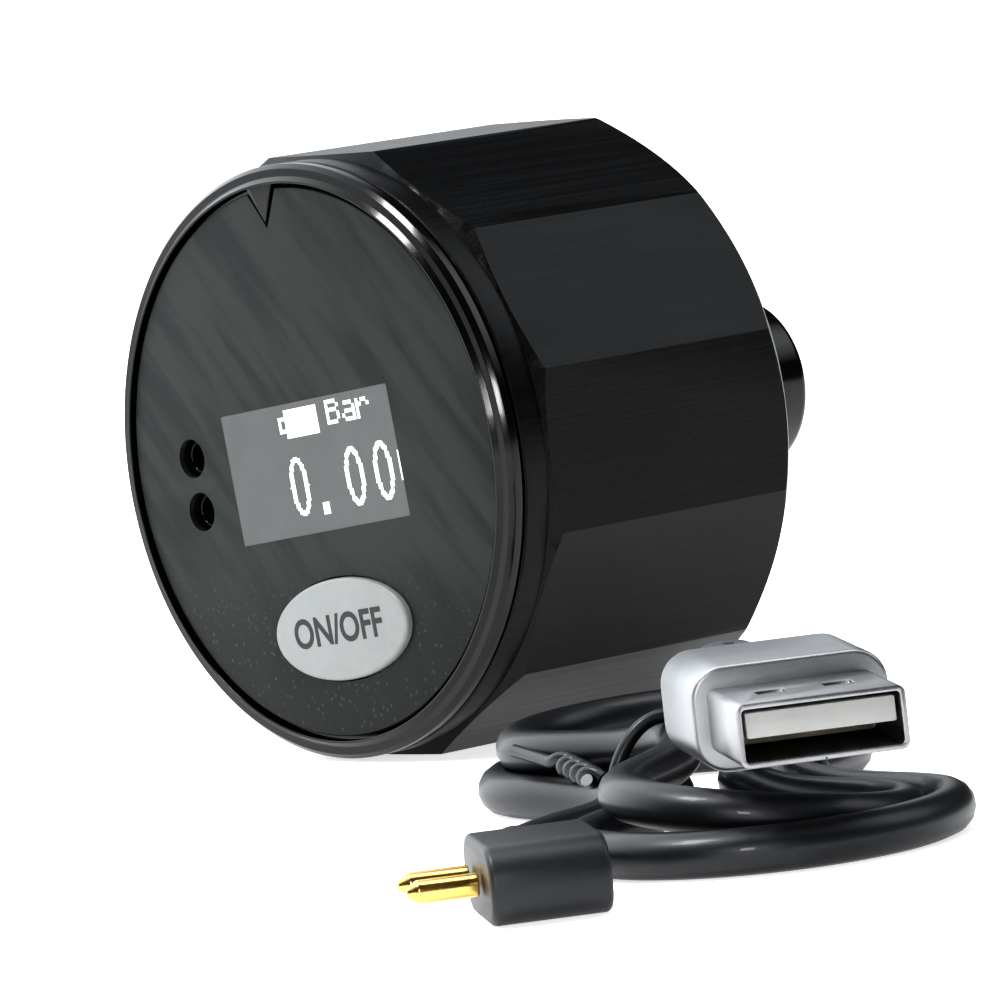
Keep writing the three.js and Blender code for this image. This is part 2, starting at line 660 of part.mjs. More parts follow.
function cordHank() {
  const groove = boxSolid(TIE[0] + 2 * GAP, HANK_SPAN, TIE[1] + GAP, 0, 0, (TIE[1] + GAP) / 2);
  return piece('cord_hank', upright(hankOutline(), 0, hankTop).subtract(groove), 'cord');
}

function boxSolid(x, y, z, cx, cy, cz) {
  return solid(new THREE.BoxGeometry(x, y, z).translate(cx, cy, cz));
}

function cordTie() {
  const inner = [2 * (halfWidth(0, HANK_LANES * CORD_DIA + CORD_DIA / 2) + GAP), hankTop + GAP];
  const outer = [inner[0] + 2 * TIE[1], inner[1] + TIE[1]];
  const band = boxSolid(TIE[0], outer[0], outer[1], 0, 0, outer[1] / 2);
  const hole = boxSolid(TIE[0] + PAST, inner[0], inner[1] - TIE[1], 0, 0, TIE[1] + (inner[1] - TIE[1]) / 2);
  return piece('cord_tie', band.subtract(hole), 'cord');
}

// Cord from a boot into the hank, through points given from the boot's start.
function cordRun(name, start, points) {
  const section = new THREE.Shape();
  section.absarc(0, 0, CORD_DIA / 2, 0, 2 * Math.PI, false);
  const from = new THREE.Vector3(...start);
  const path = [[-GAP, 0, 0], ...points].map((q) => new THREE.Vector3(...q).add(from));
  const curve = new THREE.CatmullRomCurve3(path);
  const g = new THREE.ExtrudeGeometry(section, { steps: 8, extrudePath: curve, bevelEnabled: false, curveSegments: 4 });
  return piece(name, solid(g), 'cord');
}

function usbPlug() {
  const [u, v] = USB_AT;
  const [small, large, boot] = USB_BOOT;
  const [gw, gt, gl] = USB_GRIP;
  const [sw, st, sl] = USB_SHELL;
  const [tw, tt, tl] = USB_TONGUE;
  const [slim, wide] = USB_FLARE;
  const half = [
    [0, small / 2],
    [slim[0] * boot, small / 2 + slim[1]],
    [wide[0] * boot, large / 2 - wide[1]],
    [boot, large / 2],
  ];
  const flare = new THREE.Shape([
    ...half.map(([along, out]) => new THREE.Vector2(u + along, v - out)),
    ...half.reverse().map(([along, out]) => new THREE.Vector2(u + along, v + out)),
  ]);
  const grip = u + boot + GAP;
  const shell = grip + gl + GAP;
  const floor = shell + USB_FLOOR;
  const [gripRound, shellRound, boreRound, tongueRound] = USB_ROUNDS;
  const hollow = rectangle(sw - 2 * USB_WALL, st - 2 * USB_WALL, v, usbMid, boreRound);
  const bore = alongU(hollow, floor, shell + sl + PAST);
  const tongueZ = usbMid + (st / 2 - USB_WALL - GAP - tt / 2);
  return [
    piece('usb_boot', upright(flare, usbMid - small / 2, usbMid + small / 2), 'clear'),
    piece('usb_grip', alongU(rectangle(gw, gt, v, usbMid, gripRound), grip, grip + gl), 'satin'),
    piece('usb_shell', alongU(rectangle(sw, st, v, usbMid, shellRound), shell, shell + sl).subtract(bore), 'steel'),
    piece('usb_tongue', alongU(rectangle(tw, tt, v, tongueZ, tongueRound), floor + GAP, floor + GAP + tl), 'key'),
  ];
}

function anglePlug() {
  const [length, thick, depth] = PLUG;
  const [u, v] = PLUG_AT;
  const mid = thick / 2;
  const start = u + PLUG_BOOT[1] + GAP;
  const section = rectangle(length, thick, start + length / 2, mid, (thick - PLUG_FLAT) / 2);
  const block = slab(section, v - depth / 2, v + depth / 2, 10);
  const boot = alongU(oval(PLUG_BOOT[0], PLUG_BOOT[0], v, mid), u, u + PLUG_BOOT[1], 6);
  const centre = start + length / 2;
  const pin = (name, side) => {
    const at = centre + (side * SOCKET_PITCH) / 2;
    const end = v - depth / 2 - GAP;
    return piece(name, rod(PIN_DIA, end - PIN_LENGTH, end, at, mid, 20), 'brass');
  };
  return [
    piece('plug_body', block, 'cord'),
    piece('plug_boot', boot, 'cord'),
    pin('plug_pin_left', -1),
    pin('plug_pin_right', 1),
  ];
}

// ---------------------------------------------------------------- assembly
const face = new THREE.Group();
face.rotation.y = -rad(FACE_TURN);
face.add(
  bezelRing(), faceLabel(), displayWindow(), displayPanel(), displayFoam(), displayRibbon(),
  innerCarrier(), powerKey(), tactSwitch(), switchPlunger(), mainBoard(),
  chargingSocket('charging_socket_upper', socketPlaces[0]),
  chargingSocket('charging_socket_lower', socketPlaces[1]),
  batteryPad(), batteryCell(), batteryLead('battery_lead_plus', 1), batteryLead('battery_lead_minus', -1),
  sensorRibbon(),
);
POST_ANGLES.forEach((angle, i) => face.add(boardScrew(`board_screw_${i + 1}`, angle)));

const gauge = new THREE.Group();
gauge.add(face, bodyShell(), bezelSeal(), pressureSensor(), sensorSeal(), hoseStem(), stemWasher(), stemNut());
gauge.position.set(0, RING_LIP - gaugeLength / 2, apothem);

const lead = new THREE.Group();
lead.add(cordHank(), cordTie(), ...usbPlug(), ...anglePlug());
lead.add(cordRun('cord_run_usb', [...USB_AT, usbMid], USB_CORD));
lead.add(cordRun('cord_run_plug', [...PLUG_AT, PLUG[1] / 2], PLUG_CORD));
lead.position.set(...LEAD_AT, 0);
lead.rotation.z = rad(LEAD_TURN);

const part = new THREE.Group();
part.add(gauge, lead);

export default part;
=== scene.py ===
# %% [markdown]
# # A pocket pressure gauge and its charging lead
# The object is the electronic head of a suspension pump: a black twelve-sided body with a round
# display face in front and a hose stem behind, and beside it the tied-up lead that charges it.
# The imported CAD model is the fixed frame. It says where everything is and how it moves, and this
# lesson builds what the eye sees around it: fine surfaces, a real length of cord, and finishes.
#
# Lengths in the cells are millimetres, as on a drawing, and MM turns them into Blender's metres.

# %% Load the frame
import json
import math

import bpy
from mathutils import Matrix, Vector


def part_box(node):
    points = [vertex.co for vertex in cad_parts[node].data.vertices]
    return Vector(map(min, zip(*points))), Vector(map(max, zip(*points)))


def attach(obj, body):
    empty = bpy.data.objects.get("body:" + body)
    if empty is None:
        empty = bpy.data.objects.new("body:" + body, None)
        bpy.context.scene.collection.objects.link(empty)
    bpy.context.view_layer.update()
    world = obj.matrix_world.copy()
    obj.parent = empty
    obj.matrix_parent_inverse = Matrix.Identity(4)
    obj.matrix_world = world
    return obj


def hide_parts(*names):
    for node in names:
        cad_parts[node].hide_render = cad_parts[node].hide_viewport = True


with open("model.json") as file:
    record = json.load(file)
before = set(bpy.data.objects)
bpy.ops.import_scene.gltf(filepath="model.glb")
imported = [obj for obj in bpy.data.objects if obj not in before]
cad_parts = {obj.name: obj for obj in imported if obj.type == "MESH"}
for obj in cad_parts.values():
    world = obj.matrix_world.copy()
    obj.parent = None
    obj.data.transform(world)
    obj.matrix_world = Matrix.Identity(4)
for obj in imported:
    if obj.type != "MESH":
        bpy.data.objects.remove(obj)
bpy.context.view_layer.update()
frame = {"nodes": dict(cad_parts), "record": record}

MM = 0.001

# %% [markdown]
# ## The camera
# A long lens a good arm's length away flattens the round face to a calm ellipse. The camera is
# described the way its operator would: from which side, how high, how far it is rolled, and
# what it is aimed at. Its matrix is then three directions and a place, which needs no tracking
# constraint and can't drift.

# %% Camera
SIDE, HEIGHT, ROLL = math.radians(49.22), math.radians(4.91), math.radians(-6.43)
LENS, DISTANCE = 309.0, 0.701
AIM = Vector((5.3, -9.2, 19.3)) * MM

toward = Vector((math.sin(SIDE) * math.cos(HEIGHT), -math.cos(SIDE) * math.cos(HEIGHT), math.sin(HEIGHT)))
level = Vector((math.cos(SIDE), math.sin(SIDE), 0))
upright = toward.cross(level)
right = level * math.cos(ROLL) + upright * math.sin(ROLL)
above = upright * math.cos(ROLL) - level * math.sin(ROLL)

bpy.ops.object.camera_add()
camera = bpy.context.object
camera.name = "camera"
camera.data.lens = LENS
camera.data.clip_start, camera.data.clip_end = 0.01, 50
stand = Matrix.Translation(AIM + toward * DISTANCE)
camera.matrix_world = stand @ Matrix((right, above, toward)).transposed().to_4x4()
bpy.context.scene.camera = camera
print("camera stands at", [round(v, 3) for v in camera.location])

# %% [markdown]
# ## Two drawing boards
# Every piece is drawn flat on in millimetres, as a maker would draw it, and then carried to its
# place: the gauge's face is a board turned a few degrees about the gauge's own axis, and the lead
# has a board of its own on the table. The CAD boxes say where both boards are.

# %% Drawing boards
FACE_TURN = math.radians(6.5)
LEAD_TURN = math.radians(-33)


def middle(node):
    low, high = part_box(node)
    return (low + high) / 2


axis = middle("hose_stem")
face_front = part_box("face_label")[0].y
GAUGE = Matrix.Translation((axis.x, face_front, axis.z))
FACE = GAUGE @ Matrix.Rotation(-FACE_TURN, 4, "Y")
tie = middle("cord_tie")
LEAD = Matrix.Translation((tie.x, tie.y, 0)) @ Matrix.Rotation(LEAD_TURN, 4, "Z")
print("gauge axis at height", round(axis.z / MM, 2), "mm, lead at", [round(v / MM, 1) for v in tie.xy])

# %% [markdown]
# ## The charging cord
# The cord is one fixed length of soft jacketed wire. It leaves the metal plug's boot on top of the
# bundle, makes two and a half turns, and ends in the small angle plug. A hank is easiest to
# think of as lanes on a running track that is pinched at the tie: each stretch starts in one lane
# and ends in another. A loop walks along the track, and a NURBS curve through the walk gives the
# cord its even sweep.

# %% Cord route
CORD = 3.4
SPAN, END_RADIUS, WAIST = 40.0, 10.2, 1.7
FLOOR_LAYER = CORD / 2
UPPER_LAYER = FLOOR_LAYER + 2.95
BOOT_MOUTH = Vector((0, 1.5, 10.45))


def ease(t):
    t = min(max(t, 0.0), 1.0)
    return t * t * (3 - 2 * t)


def half_width(u, lane):
    """How far the track's straight side is from its middle line, at u along the hank."""
    wave = (1 + math.cos(2 * math.pi * (u + SPAN / 2) / SPAN)) / 2
    return WAIST + lane + (END_RADIUS - WAIST) * wave


def over_tie(u):
    """The cord rides up a little where the tie passes underneath."""
    return 0.95 * (1 - ease(abs(u) / 9))


def side(sign, start, end, lanes, heights, hump=0.0, steps=11):
    """Points along one straight side of the track, from start to end, without the last one."""
    points = []
    for i in range(steps):
        t = i / steps
        u = start + (end - start) * t
        lane = lanes[0] + (lanes[1] - lanes[0]) * ease(t)
        z = heights[0] + (heights[1] - heights[0]) * ease(t) + hump * math.sin(math.pi * t)
        points.append(Vector((u, sign * half_width(u, lane), z + over_tie(u))))
    return points


def cap(centre, first, lanes, heights, steps=9):
    """Points round one end of the track, turning clockwise seen from above from the angle first."""
    points = []
    for i in range(steps):
        t = i / steps
        angle = first - math.pi * t
        radius = END_RADIUS + lanes[0] + (lanes[1] - lanes[0]) * ease(t)
        z = heights[0] + (heights[1] - heights[0]) * ease(t)
        points.append(Vector((centre + radius * math.cos(angle), radius * math.sin(angle), z)))
    return points


half = SPAN / 2
low, high = FLOOR_LAYER, UPPER_LAYER
down, up = -math.pi / 2, math.pi / 2
plug_end = [Vector(p) for p in ((26.7, -19.2, 2.8), (23, -19.0, 2.3), (17, -17.6, 1.8), (11, -13.8, 1.8))]
usb_end = [Vector(p) for p in ((-16, 6.6, 8.55), (-10, 3.2, 9.95), (-4, 1.5, 10.45), (-0.3, 1.5, 10.45))]
route = (
    plug_end
    + side(-1, 8, -half, (5.6, 3.4), (low, low))
    + cap(-half, down, (3.4, 3.4), (low, low))
    + side(1, -half, half, (3.4, 3.4), (low, low), steps=16)
    + cap(half, up, (3.4, 3.4), (low, low))
    + side(-1, half, -half, (3.4, 0), (low, low), steps=16)
    + cap(-half, down, (0, 0), (low, low))
    + side(1, -half, half, (0, 0), (low, low), steps=16)
    + cap(half, up, (0, 0), (low, high + 0.4))
    + side(-1, half, -half, (0, 1.7), (high + 0.4, high), hump=0.3, steps=16)
    + cap(-half, down, (1.7, 1.0), (high, high + 0.5))
    + [Vector((-half - 0.2, 11.1, high + 0.8))]
    + usb_end
)
route.reverse()
length = sum((b - a).length for a, b in zip(route, route[1:]))
print(len(route), "points,", round(length), "mm of cord")


# %% Cord curve
def deselect():
    if bpy.context.object and bpy.context.object.mode != "OBJECT":
        bpy.ops.object.mode_set(mode="OBJECT")
    bpy.ops.object.select_all(action="DESELECT")


deselect()
line = bpy.data.curves.new("charging_cord", "CURVE")
line.dimensions = "3D"
# Blender counts a point's radius into a curve's box, so the radius is small and the bevel large
line.bevel_depth = CORD / 2
line.bevel_resolution = 5
line.resolution_u = 4
line.use_fill_caps = True
spline = line.splines.new("NURBS")
spline.points.add(len(route) - 1)
for point, place in zip(spline.points, route):
    point.co = (*(LEAD @ (place * MM)), 1)
    point.radius = MM
spline.order_u = 4
spline.use_endpoint_u = True
charging_cord = bpy.data.objects.new("charging_cord", line)
bpy.context.scene.collection.objects.link(charging_cord)
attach(charging_cord, "lead")
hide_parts("cord_hank", "cord_run_usb", "cord_run_plug")
print("cord diameter", CORD, "mm, turns of about", round(2 * (END_RADIUS + 1.7)), "mm")

# %% [markdown]
# ## Finishes as expressions
# A finish is a small sum: some grain here, less shine there. Wiring such sums by hand hides them,
# so one class wraps a node's output and lets Python's own signs add the Math nodes.


# %% Shader wires
class Wire:
    """An output of one node. Signs make Math nodes, and node() makes any other kind."""

    def __init__(self, tree, socket=None):
        self.tree = tree
        self.socket = socket

    def node(self, kind, settings=None, sockets=None, output=0):
        made = self.tree.nodes.new(kind)
        for name, value in (settings or {}).items():
            if name == "stops":
                ramp = made.color_ramp
                while len(ramp.elements) < len(value):
                    ramp.elements.new(0.5)
                for element, (place, shade) in zip(ramp.elements, value):
                    element.position, element.color = place, (shade, shade, shade, 1)
            else:
                setattr(made, name, value)
        for name, value in (sockets or {}).items():
            if isinstance(value, Wire):
                self.tree.links.new(value.socket, made.inputs[name])
            else:
                made.inputs[name].default_value = value
        return Wire(self.tree, made.outputs[output])

    def math(self, operation, *values):
        return self.node("ShaderNodeMath", {"operation": operation}, dict(enumerate(values)))

    def __add__(self, other):
        return self.math("ADD", self, other)

    def __sub__(self, other):
        return self.math("SUBTRACT", self, other)

    def __rsub__(self, other):
        return self.math("SUBTRACT", other, self)

    def __mul__(self, other):
        return self.math("MULTIPLY", self, other)

    def __truediv__(self, other):
        return self.math("DIVIDE", self, other)

    def __gt__(self, other):
        return self.math("GREATER_THAN", self, other)

    __radd__ = __add__
    __rmul__ = __mul__


# %% [markdown]
# Every finish starts from the same place: a Principled shader and the piece's own coordinates in
# millimetres. What stays the same all over goes straight on the shader's sockets, and only what
# changes over the surface is wired.


# %% Finish helpers
def start_finish(name, **constants):
    """A material, a wire to build with, and its shader."""
    material = bpy.data.materials.new(name)
    material.use_nodes = True
    tree = material.node_tree
    shader = tree.nodes["Principled BSDF"]
    for socket, value in constants.items():
        shader.inputs[socket.replace("_", " ")].default_value = value
    return material, Wire(tree), shader


def millimetres(wire, stretch=(1, 1, 1), turn=(0, 0, 0)):
    place = wire.node("ShaderNodeTexCoord", output=3)
    turned_place = wire.node("ShaderNodeMapping", None, {"Vector": place, "Rotation": turn})
    scale = [s / MM for s in stretch]
    return wire.node("ShaderNodeMapping", None, {"Vector": turned_place, "Scale": scale})


def noise(wire, where, scale, detail=2.0):
    return wire.node("ShaderNodeTexNoise", None, {"Vector": where, "Scale": scale, "Detail": detail})


def spread(wire, value, low_in, high_in, low_out=0.0, high_out=1.0):
    sockets = {"Value": value, "From Min": low_in, "From Max": high_in, "To Min": low_out, "To Max": high_out}
    return wire.node("ShaderNodeMapRange", None, sockets)


def tint(wire, amount, dark, light):
    sockets = {0: amount, 6: (*dark, 1), 7: (*light, 1)}
    return wire.node("ShaderNodeMix", {"data_type": "RGBA"}, sockets, output=2)


def relief(wire, shader, height, depth):
    """Raises the surface by height times depth, in millimetres."""
    bump = wire.node("ShaderNodeBump", None, {"Height": height, "Distance": depth * MM, "Strength": 1.0})
    wire.tree.links.new(bump.socket, shader.inputs["Normal"])


def feed(shader, name, wire):
    wire.tree.links.new(wire.socket, shader.inputs[name])


# %% [markdown]
# ## Black finishes of the gauge
# The body is turned and milled from bar and then anodised: it keeps the cutter's fine lines along
# each flat and a faint sparkle of grain. The bezel and the stem are polished before the same bath,
# so they throw sharp highlights. The face is a printed film whose surface shows soft slanting
# bands, with small pale flecks low down, where the film's colour is also painted darker as shade.


# %% Anodised body, polished rings and face film
def anodised():
    material, wire, shader = start_finish("anodised_body", Specular_IOR_Level=0.22)
    lines = noise(wire, millimetres(wire, (2.6, 0.05, 2.6)), 1.0, 3)
    grain = noise(wire, millimetres(wire), 7.0, 3)
    cloud = noise(wire, millimetres(wire), 0.09, 2)
    shade = spread(wire, grain * 0.7 + lines * 0.4 + cloud * 0.3, 0.55, 0.95)
    feed(shader, "Base Color", tint(wire, shade, (0.001, 0.001, 0.0012), (0.0075, 0.008, 0.009)))
    feed(shader, "Roughness", 0.2 + 0.16 * lines + 0.1 * grain)
    relief(wire, shader, grain * 0.45 + lines * 0.55, 0.02)
    return material


def polished(name, roughness):
    material, wire, shader = start_finish(name, Specular_IOR_Level=0.3, Coat_Weight=0.15, Coat_Roughness=0.06)
    turning = noise(wire, millimetres(wire, (0.15, 9, 0.15)), 1.0, 2)
    dust = noise(wire, millimetres(wire), 2.2, 4)
    feed(shader, "Base Color", tint(wire, dust, (0.001, 0.001, 0.001), (0.004, 0.004, 0.0045)))
    feed(shader, "Roughness", roughness + 0.08 * turning + 0.06 * dust)
    relief(wire, shader, turning, 0.002)
    return material


def film():
    material, wire, shader = start_finish("face_film", Specular_IOR_Level=0.25)
    bands = noise(wire, millimetres(wire, (0.45, 1, 0.06), (0, math.radians(40), 0)), 1.0, 3)
    grain = noise(wire, millimetres(wire), 5.0, 3)
    height = wire.node("ShaderNodeSeparateXYZ", None, {0: millimetres(wire)}, output=2)
    # painted shade: the face film darkens towards its bottom edge; the pale flecks and a lower roughness use
    # the same zone
    lower_face_painted_shade = spread(wire, height, axis.z / MM - 7, axis.z / MM - 15)
    flecks = wire.node("ShaderNodeTexVoronoi", None, {"Vector": millimetres(wire), "Scale": 1.6})
    patches = spread(wire, noise(wire, millimetres(wire), 0.8), 0.4, 0.6)
    fleck = spread(wire, flecks, 0.3, 0.14) * lower_face_painted_shade * patches
    dark_streaks = spread(wire, bands, 0.36, 0.56)
    # the lower part of the face is painted down to a tenth of its colour, as shade
    shade = (0.3 + 0.5 * dark_streaks) * (1 - 0.9 * lower_face_painted_shade) + 0.12 * grain + 1.5 * fleck
    feed(shader, "Base Color", tint(wire, shade, (0.002, 0.0024, 0.0024), (0.026, 0.031, 0.029)))
    feed(shader, "Roughness", 0.36 + 0.12 * grain - 0.08 * lower_face_painted_shade)
    relief(wire, shader, grain * 0.5 + fleck, 0.01)
    return material


body_finish = anodised()
gloss_finish = polished("gloss_black", 0.1)
film_finish = film()
print("finishes:", body_finish.name, gloss_finish.name, film_finish.name)

# %% [markdown]
# ## Finishes of the small parts
# Most small parts need the same recipe in different amounts: a colour that wanders a little, a
# grain that breaks up the shine, and a slight relief. One function mixes them, and a table of
# plain words and numbers says how much of each.


# %% Small-part finishes
def plain_finish(name, colour, roughness, grain_size=4.0, change=0.25, depth=0.006, **constants):
    material, wire, shader = start_finish(name, **constants)
    grain = noise(wire, millimetres(wire), grain_size, 4)
    cloud = noise(wire, millimetres(wire), 0.3, 2)
    darker = [c * (1 - change) for c in colour]
    lighter = [min(1.0, c * (1 + change)) for c in colour]
    feed(shader, "Base Color", tint(wire, spread(wire, 0.5 * grain + 0.5 * cloud, 0.3, 0.7), darker, lighter))
    feed(shader, "Roughness", roughness - 0.06 + 0.12 * grain)
    relief(wire, shader, grain, depth)
    return material


FINISHES = {
    "screen": plain_finish("screen", (0.082, 0.084, 0.084), 0.3, 0.5, 0.1, 0.001),
    "key_grey": plain_finish("key_grey", (0.25, 0.258, 0.255), 0.42, 1.2, 0.05, 0.004),
    "key_ink": plain_finish("key_ink", (0.02, 0.021, 0.022), 0.5, 3.0, 0.1, 0.001),
    "black_plastic": plain_finish("black_plastic", (0.012, 0.013, 0.015), 0.45, 5.0, 0.3, 0.01),
    "black_rubber": plain_finish("black_rubber", (0.01, 0.01, 0.011), 0.75, 4.0, 0.3, 0.01),
    "circuit_board": plain_finish("circuit_board", (0.01, 0.07, 0.03), 0.35, 2.0),
    "brass": plain_finish("brass", (0.75, 0.5, 0.17), 0.22, 6.0, 0.1, 0.003, Metallic=1.0),
    "bright_steel": plain_finish("bright_steel", (0.3, 0.3, 0.31), 0.34, 9.0, 0.22, 0.012, Metallic=1.0),
    "cell_foil": plain_finish("cell_foil", (0.4, 0.42, 0.45), 0.35, 1.0, 0.15, 0.03, Metallic=0.7),
    "ribbon_film": plain_finish("ribbon_film", (0.5, 0.2, 0.03), 0.35, 2.0),
    "foam": plain_finish("foam", (0.02, 0.02, 0.022), 0.9, 3.0, 0.4, 0.08),
    "satin_alloy": plain_finish("satin_alloy", (0.32, 0.325, 0.335), 0.4, 11.0, 0.1, 0.014, Metallic=1.0),
    "clear_plastic": plain_finish("clear_plastic", (0.16, 0.163, 0.185), 0.3, 1.0, 0.2, 0.004,
                                  Subsurface_Weight=0.35, Subsurface_Scale=0.002,
                                  Subsurface_Radius=(1.0, 1.0, 1.0), Coat_Weight=0.3),
    "cord_jacket": plain_finish("cord_jacket", (0.006, 0.007, 0.0095), 0.42, 3.0, 0.3, 0.008,
                                Coat_Weight=0.1),
    "white_plastic": plain_finish("white_plastic", (0.38, 0.38, 0.37), 0.35, 3.0, 0.04),
    "anodised_body": body_finish,
    "gloss_black": gloss_finish,
    "face_film": film_finish,
}
pixels, pixel_wire, pixel_shader = start_finish("lit_pixels", Roughness=0.4, Emission_Strength=1.0)
glow = spread(pixel_wire, noise(pixel_wire, millimetres(pixel_wire), 1.2), 0.3, 0.7)
feed(pixel_shader, "Emission Color", tint(pixel_wire, glow, (0.42, 0.52, 0.54), (0.56, 0.66, 0.66)))
FINISHES["lit_pixels"] = pixels
charging_cord.data.materials.append(FINISHES["cord_jacket"])
for subpart in frame["record"]["subparts"]:
    slots = frame["nodes"][subpart["node"]].data.materials
    slots.clear()
    slots.append(FINISHES[subpart["material_slot"]])

# %% [markdown]
# ## The two ways to make a part
# Round parts come off a lathe, and so do these: a closed section is drawn as a ring of vertices
# and spun about the gauge's axis. Flat parts are cut from sheet: an outline is filled and
# extruded. Corners get their radius while they are drawn, since a real edge is never sharp and
# it is the small radius that catches the light.


# %% Section and outline helpers
def rounded(corners, steps=4):
    """The outline of (x, y, radius) corners, with an arc at every corner that has a radius."""
    outline = []
    for i, (x, y, radius) in enumerate(corners):
        here = Vector((x, y))
        if not radius:
            outline.append(here)
            continue
        back = (Vector(corners[i - 1][:2]) - here).normalized()
        ahead = (Vector(corners[(i + 1) % len(corners)][:2]) - here).normalized()
        opening = back.angle(ahead) / 2
        reach = radius / math.tan(opening)
        centre = here + (back + ahead).normalized() * (radius / math.sin(opening))
        first, last = here + back * reach - centre, here + ahead * reach - centre
        sweep = first.angle(last)
        for k in range(steps + 1):
            t = k / steps
            arm = (first * math.sin((1 - t) * sweep) + last * math.sin(t * sweep)) / math.sin(sweep)
            outline.append(centre + arm)
    return outline


def oval(width, height, centre=(0, 0), steps=128):
    x, y = centre
    turns = [2 * math.pi * i / steps for i in range(steps)]
    return [Vector((x + width / 2 * math.cos(a), y + height / 2 * math.sin(a))) for a in turns]


def panel(width, height, centre=(0, 0), radius=0.4, steps=4):
    x, y = centre
    signs = ((-1, -1), (1, -1), (1, 1), (-1, 1))
    return rounded([(x + a * width / 2, y + b * height / 2, radius) for a, b in signs], steps)


# %% Lathe and sheet cutter
def ring_of_vertices(name, places, fill):
    deselect()
    bpy.ops.mesh.primitive_circle_add(vertices=len(places), radius=1, fill_type=fill)
    piece = bpy.context.object
    piece.name = piece.data.name = name
    for vertex, place in zip(piece.data.vertices, places):
        vertex.co = Vector(place) * MM
    bpy.ops.object.mode_set(mode="EDIT")
    bpy.ops.mesh.select_all(action="SELECT")
    return piece


def close_up():
    """Merges doubles, drops loose edges, turns the faces outwards and leaves edit mode."""
    bpy.ops.mesh.select_all(action="SELECT")
    bpy.ops.mesh.remove_doubles(threshold=1e-6)
    bpy.ops.mesh.delete_loose(use_verts=True, use_edges=True, use_faces=False)
    bpy.ops.mesh.select_all(action="SELECT")
    bpy.ops.mesh.normals_make_consistent(inside=False)
    bpy.ops.object.mode_set(mode="OBJECT")


def turned(name, section, steps=192):
    """A closed section of (radius, length) corners, spun round the Y axis."""
    piece = ring_of_vertices(name, [(radius, along, 0) for radius, along in section], "NOTHING")
    bpy.ops.mesh.spin(steps=steps, angle=2 * math.pi, center=(0, 0, 0), axis=(0, 1, 0))
    close_up()
    return piece


def sheet_part(name, outline, front, back):
    """An outline in x and z, filled and extruded from front to back along Y."""
    piece = ring_of_vertices(name, [(x, front, z) for x, z in outline], "NGON")
    bpy.ops.mesh.extrude_region_move(TRANSFORM_OT_translate={"value": (0, (back - front) * MM, 0)})
    close_up()
    return piece


def apply_modifier(piece, kind, **settings):
    deselect()
    bpy.context.view_layer.objects.active = piece
    piece.select_set(True)
    modifier = piece.modifiers.new(kind.lower(), kind)
    for name, value in settings.items():
        setattr(modifier, name, value)
    bpy.ops.object.modifier_apply(modifier=modifier.name)


def combine(piece, tool, operation="DIFFERENCE"):
    apply_modifier(piece, "BOOLEAN", object=tool, operation=operation, solver="EXACT")
    bpy.data.objects.remove(tool)


def soften(piece, width, segments=2, angle=35):
    apply_modifier(piece, "BEVEL", width=width * MM, segments=segments, limit_method="ANGLE",
                   angle_limit=math.radians(angle), use_clamp_overlap=True)


# %% [markdown]
# When a piece is done it is carried from its drawing board to its place, shaded smooth except at
# real corners, given its finish and told which moving body it belongs to, and the CAD nodes it
# stands for are hidden.


# %% Finishing a piece
def settle(piece, board, body, slot, nodes=(), look=None, smooth=28):
    piece.data.transform(board)
    piece.data.update()
    piece.data.materials.clear()
    piece.data.materials.append(FINISHES[look or slot])
    deselect()
    bpy.context.view_layer.objects.active = piece
    piece.select_set(True)
    bpy.ops.object.shade_smooth_by_angle(angle=math.radians(smooth))
    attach(piece, body)
    if nodes:
        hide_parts(*nodes)
    print(piece.name, len(piece.data.polygons), "faces")
    return piece


# %% [markdown]
# ## The body
# The blank is turned first: a collar in front, the full diameter behind it, a bevel at the rear
# and a counterbore inside. Then twelve flats are milled along it. The cutter is itself a lathe
# part, a ring spun in only twelve steps, so that its hole has twelve sides, and taking it away
# from the blank leaves the flats and the scalloped edge where they run out at the collar.

# %% Body shell
FLATS = 12
BODY_RADIUS, COLLAR_RADIUS = 25.4, 24.3
BODY_FRONT, FLATS_FRONT, BODY_BACK = 1.55, 3.95, 30.45
SEAT_RADIUS, BORE_RADIUS, NECK_HOLE = 23.2, 21.2, 5.3
COLLAR_STEP, SEAT_DEPTH, REAR_WALL = 0.7, 4.2, 3.7
REAR_CHAMFER = (1.4, 1.5)

body = turned("gauge_body", rounded([
    (SEAT_RADIUS, BODY_FRONT, 0.1),
    (COLLAR_RADIUS, BODY_FRONT, 0.25),
    (COLLAR_RADIUS, FLATS_FRONT, 0),
    (BODY_RADIUS, FLATS_FRONT + COLLAR_STEP, 0),
    (BODY_RADIUS, BODY_BACK - REAR_CHAMFER[1], 0.4),
    (BODY_RADIUS - REAR_CHAMFER[0], BODY_BACK, 0.4),
    (NECK_HOLE, BODY_BACK, 0.2),
    (NECK_HOLE, BODY_BACK - REAR_WALL, 0),
    (BORE_RADIUS, BODY_BACK - REAR_WALL, 0.5),
    (BORE_RADIUS, BODY_FRONT + SEAT_DEPTH, 0),
    (SEAT_RADIUS, BODY_FRONT + SEAT_DEPTH, 0.2),
]), 240)
ahead, behind, outside = 3.0, 33.0, 40.0
cutter_section = [(BODY_RADIUS, ahead), (outside, ahead), (outside, behind), (BODY_RADIUS, behind)]
cutter = turned("flats_cutter", cutter_section, FLATS)
cutter.data.transform(Matrix.Rotation(math.radians(180 / FLATS), 4, "Y"))
combine(body, cutter)
soften(body, 0.09, 2, 20)
settle(body, GAUGE, "gauge", "anodised_body", ["body_shell"])

# %% [markdown]
# ## The bezel
# A polished ring clamps the face film. Its front has two bevels that lean the same way, one by the
# inner lip and one at the outer edge, with a dark band between: a lamp shows in them as two
# parallel streaks. A pointed tooth at the top keeps the film from turning.

